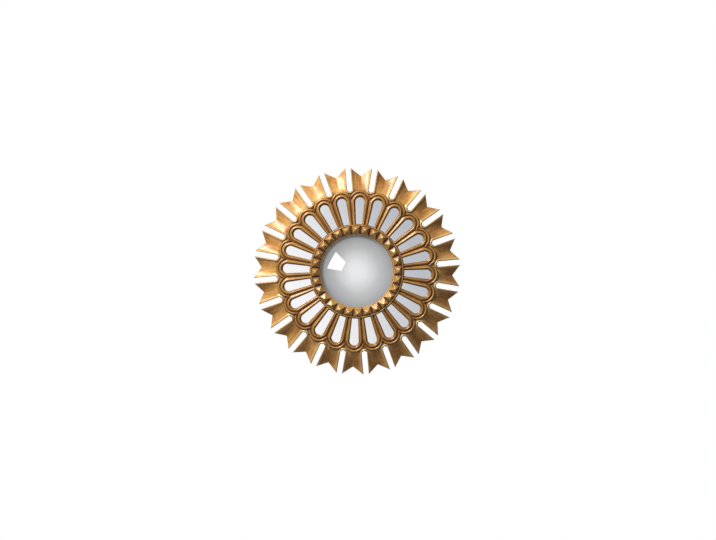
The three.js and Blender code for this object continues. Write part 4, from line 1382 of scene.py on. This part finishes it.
# ------------------------------------------------------------------ stage
PICTURE_PIXELS = 716            # across the picture
WIDTH_H = 20 * MM               # how far off the wall the picture's width is measured
# The mirror's axis lies this many pixels left of the picture's middle, and below it.
AXIS_LEFT, AXIS_BELOW = 1, 1.3
# How light the studio is from straight behind the wall, 0, to straight in front of it, 1.
STUDIO_TONES = ((0.0, 1.0), (0.25, 0.9), (0.45, 0.15), (0.5, 0.08), (0.75, 0.15), (0.869, 0.375),
                (0.9465, 0.585), (0.98, 0.79), (0.995, 0.93), (1.0, 0.96))
CARD_CORNERS = ((-0.43, -0.81, 0.39), (-0.24, -0.95, 0.19), (-0.33, -0.945, 0.01),
                (-0.605, -0.794, 0.06))
CARD_DISTANCE = 2.0
FLOOR_CORNERS = ((-0.9, -0.6, -1.1), (0.9, -0.6, -1.1), (0.9, 0.8, -1.1), (-0.9, 0.8, -1.1))
KEY_DIRECTION = Vector((-0.52, -0.49, 0.69))
KEY_DISTANCE, KEY_SIZE = 1.6, 0.6


def stage_plane(name, corners, material):
    plane = new_object(name, new_mesh(name, corners, [], [(0, 1, 2, 3)]))
    plane.data.materials.append(material)
    plane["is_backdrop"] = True
    return plane


def key_lamp(power):
    """A square lamp that looks at the mirror and isn't seen itself."""
    data = bpy.data.lights.new("Key lamp", "AREA")
    data.shape, data.size, data.energy = "SQUARE", KEY_SIZE, power
    made = new_object("Key lamp", data)
    made.location = KEY_DIRECTION.normalized() * KEY_DISTANCE
    made.rotation_euler = KEY_DIRECTION.to_track_quat("Z", "Y").to_euler()
    made.visible_camera = False


def studio_world():
    """White to the camera, and to mirrors a studio that is light in front and dim at the sides."""
    world = bpy.data.worlds.new("Studio")
    net = net_of(world)
    path = {ray: net.value("ShaderNodeLightPath", f"Is {ray} Ray")
            for ray in ("Camera", "Glossy", "Transmission")}
    toward = net.value("ShaderNodeTexCoord", "Generated")
    x, z = (net.value("ShaderNodeSeparateXYZ", axis, Vector=toward) for axis in "XZ")
    level = net.vectors("DOT_PRODUCT", toward, (0.0, -1.0, 0.0), "Value")
    falling = net.node("ShaderNodeValToRGB", Fac=level * 0.5 + 0.5)
    stops = falling.color_ramp.elements
    stops.remove(stops[1])
    for index, (place, tone) in enumerate(STUDIO_TONES):
        stop = stops.new(place) if index else stops[0]
        stop.position, stop.color = place, (tone, tone, tone, 1)
    # The room is darker towards its upper left, and darkest past the edge of the window.
    across = (x - z) * 0.707
    off_axis = 1.0 - level
    beyond = net.ramp(across, 0.15, -0.4) * net.ramp(off_axis, 0.225, 0.27)
    shade = (across * off_axis * 0.9 + 1.0) * (1.0 - beyond * 0.65)
    tint = net.value("ShaderNodeCombineXYZ", X=shade, Y=shade, Z=shade)
    studio = net.mix(1.0, Value(net, falling.outputs["Color"]), tint, "MULTIPLY")
    mirrored = net.maths("MAXIMUM", path["Glossy"], path["Transmission"])
    seen = net.mix(mirrored, (0.10, 0.10, 0.10), studio)
    net.feed(net.find("BACKGROUND").inputs["Color"], net.mix(path["Camera"], seen, (1, 1, 1)))
    bpy.context.scene.world = world


@finish
def pale_floor(net, place):
    seen = net.value("ShaderNodeLightPath", "Is Camera Ray")
    return dict(Base_Color=net.mix(net.noise(place, 3.0), (0.90, 0.90, 0.90), (0.93, 0.93, 0.93)),
                Emission_Color=net.mix(seen, (0, 0, 0), (1, 1, 1)), Emission_Strength=0.45,
                Roughness=0.8)


def window_card(strength):
    made = bpy.data.materials.new("Window card")
    net = net_of(made)
    net.tree.nodes.remove(net.find("BSDF_PRINCIPLED"))
    net.feed(net.find("OUTPUT_MATERIAL").inputs["Surface"],
             net.value("ShaderNodeEmission", Color=(1, 1, 1), Strength=strength))
    return made


class Studio(bpy.types.Operator):
    """Sets up the camera, the key lamp, the pale floor and the window card"""
    bl_idname = "butlers_mirror.studio"
    bl_label = "Studio"

    def execute(self, context):
        setup = context.scene.mirror_studio
        turn = setup.turn
        right = Vector((cos(turn), 0, sin(turn)))
        up = Vector((-sin(turn), 0, cos(turn)))
        pixel = setup.width / PICTURE_PIXELS
        data = bpy.data.cameras.new("Camera")
        data.lens = data.sensor_width * (setup.distance - WIDTH_H) / setup.width
        camera = new_object("Camera", data)
        place = (Vector((0, -setup.distance, 0)) + right * AXIS_LEFT * pixel
                 + up * AXIS_BELOW * pixel)
        camera.matrix_world = Matrix.Translation(place) @ Matrix(
            (right, up, Vector((0, -1, 0)))).transposed().to_4x4()
        context.scene.camera = camera
        studio_world()
        key_lamp(setup.key_power)
        turned = Matrix.Rotation(-turn, 3, "Y")
        card = stage_plane(
            "window_card",
            [(turned @ Vector(c).normalized()) * CARD_DISTANCE for c in CARD_CORNERS],
            window_card(setup.card_strength))
        card.visible_camera = card.visible_shadow = card.visible_diffuse = False
        stage_plane("floor", FLOOR_CORNERS, pale_floor("Pale floor"))
        context.scene.view_settings.view_transform = "Standard"
        return {"FINISHED"}


# ------------------------------------------------------------------ add-on
OPERATORS = (Studio, PetalRing, ArcadeRing, StuddedBezel, Glass, Backing, Screws, TurnButtons,
             Hangers, Bumpers)
SETTINGS = {
    "mirror_petals": PetalSizes, "mirror_arcade": ArcadeSizes, "mirror_bezel": BezelSizes,
    "mirror_glass": GlassSizes, "mirror_fittings": FittingSizes, "mirror_finishes": Finishes,
    "mirror_studio": StudioSettings,
}


class MirrorPanel(bpy.types.Panel):
    """Lists the mirror's pieces and their sizes"""
    bl_idname = "VIEW3D_PT_butlers_mirror"
    bl_label = "Convex butler's mirror"
    bl_space_type = "VIEW_3D"
    bl_region_type = "UI"
    bl_category = "Butler's mirror"

    def draw(self, context):
        for operator in OPERATORS:
            self.layout.operator(operator.bl_idname)
        for name, group in SETTINGS.items():
            box = self.layout.box()
            box.label(text=group.__doc__)
            for key in group.__annotations__:
                box.prop(getattr(context.scene, name), key)


def register():
    for made in (*SETTINGS.values(), *OPERATORS, MirrorPanel):
        bpy.utils.register_class(made)
    for name, group in SETTINGS.items():
        setattr(bpy.types.Scene, name, PointerProperty(type=group))


def unregister():
    for name in SETTINGS:
        delattr(bpy.types.Scene, name)
    for made in (MirrorPanel, *OPERATORS, *SETTINGS.values()):
        bpy.utils.unregister_class(made)


def main():
    register()
    for operator in OPERATORS:
        getattr(bpy.ops.butlers_mirror, operator.bl_idname.split(".")[1])()
    boxes = {"cad": CAD_BOX, "visual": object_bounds()}


if __name__ == "__main__":
    main()
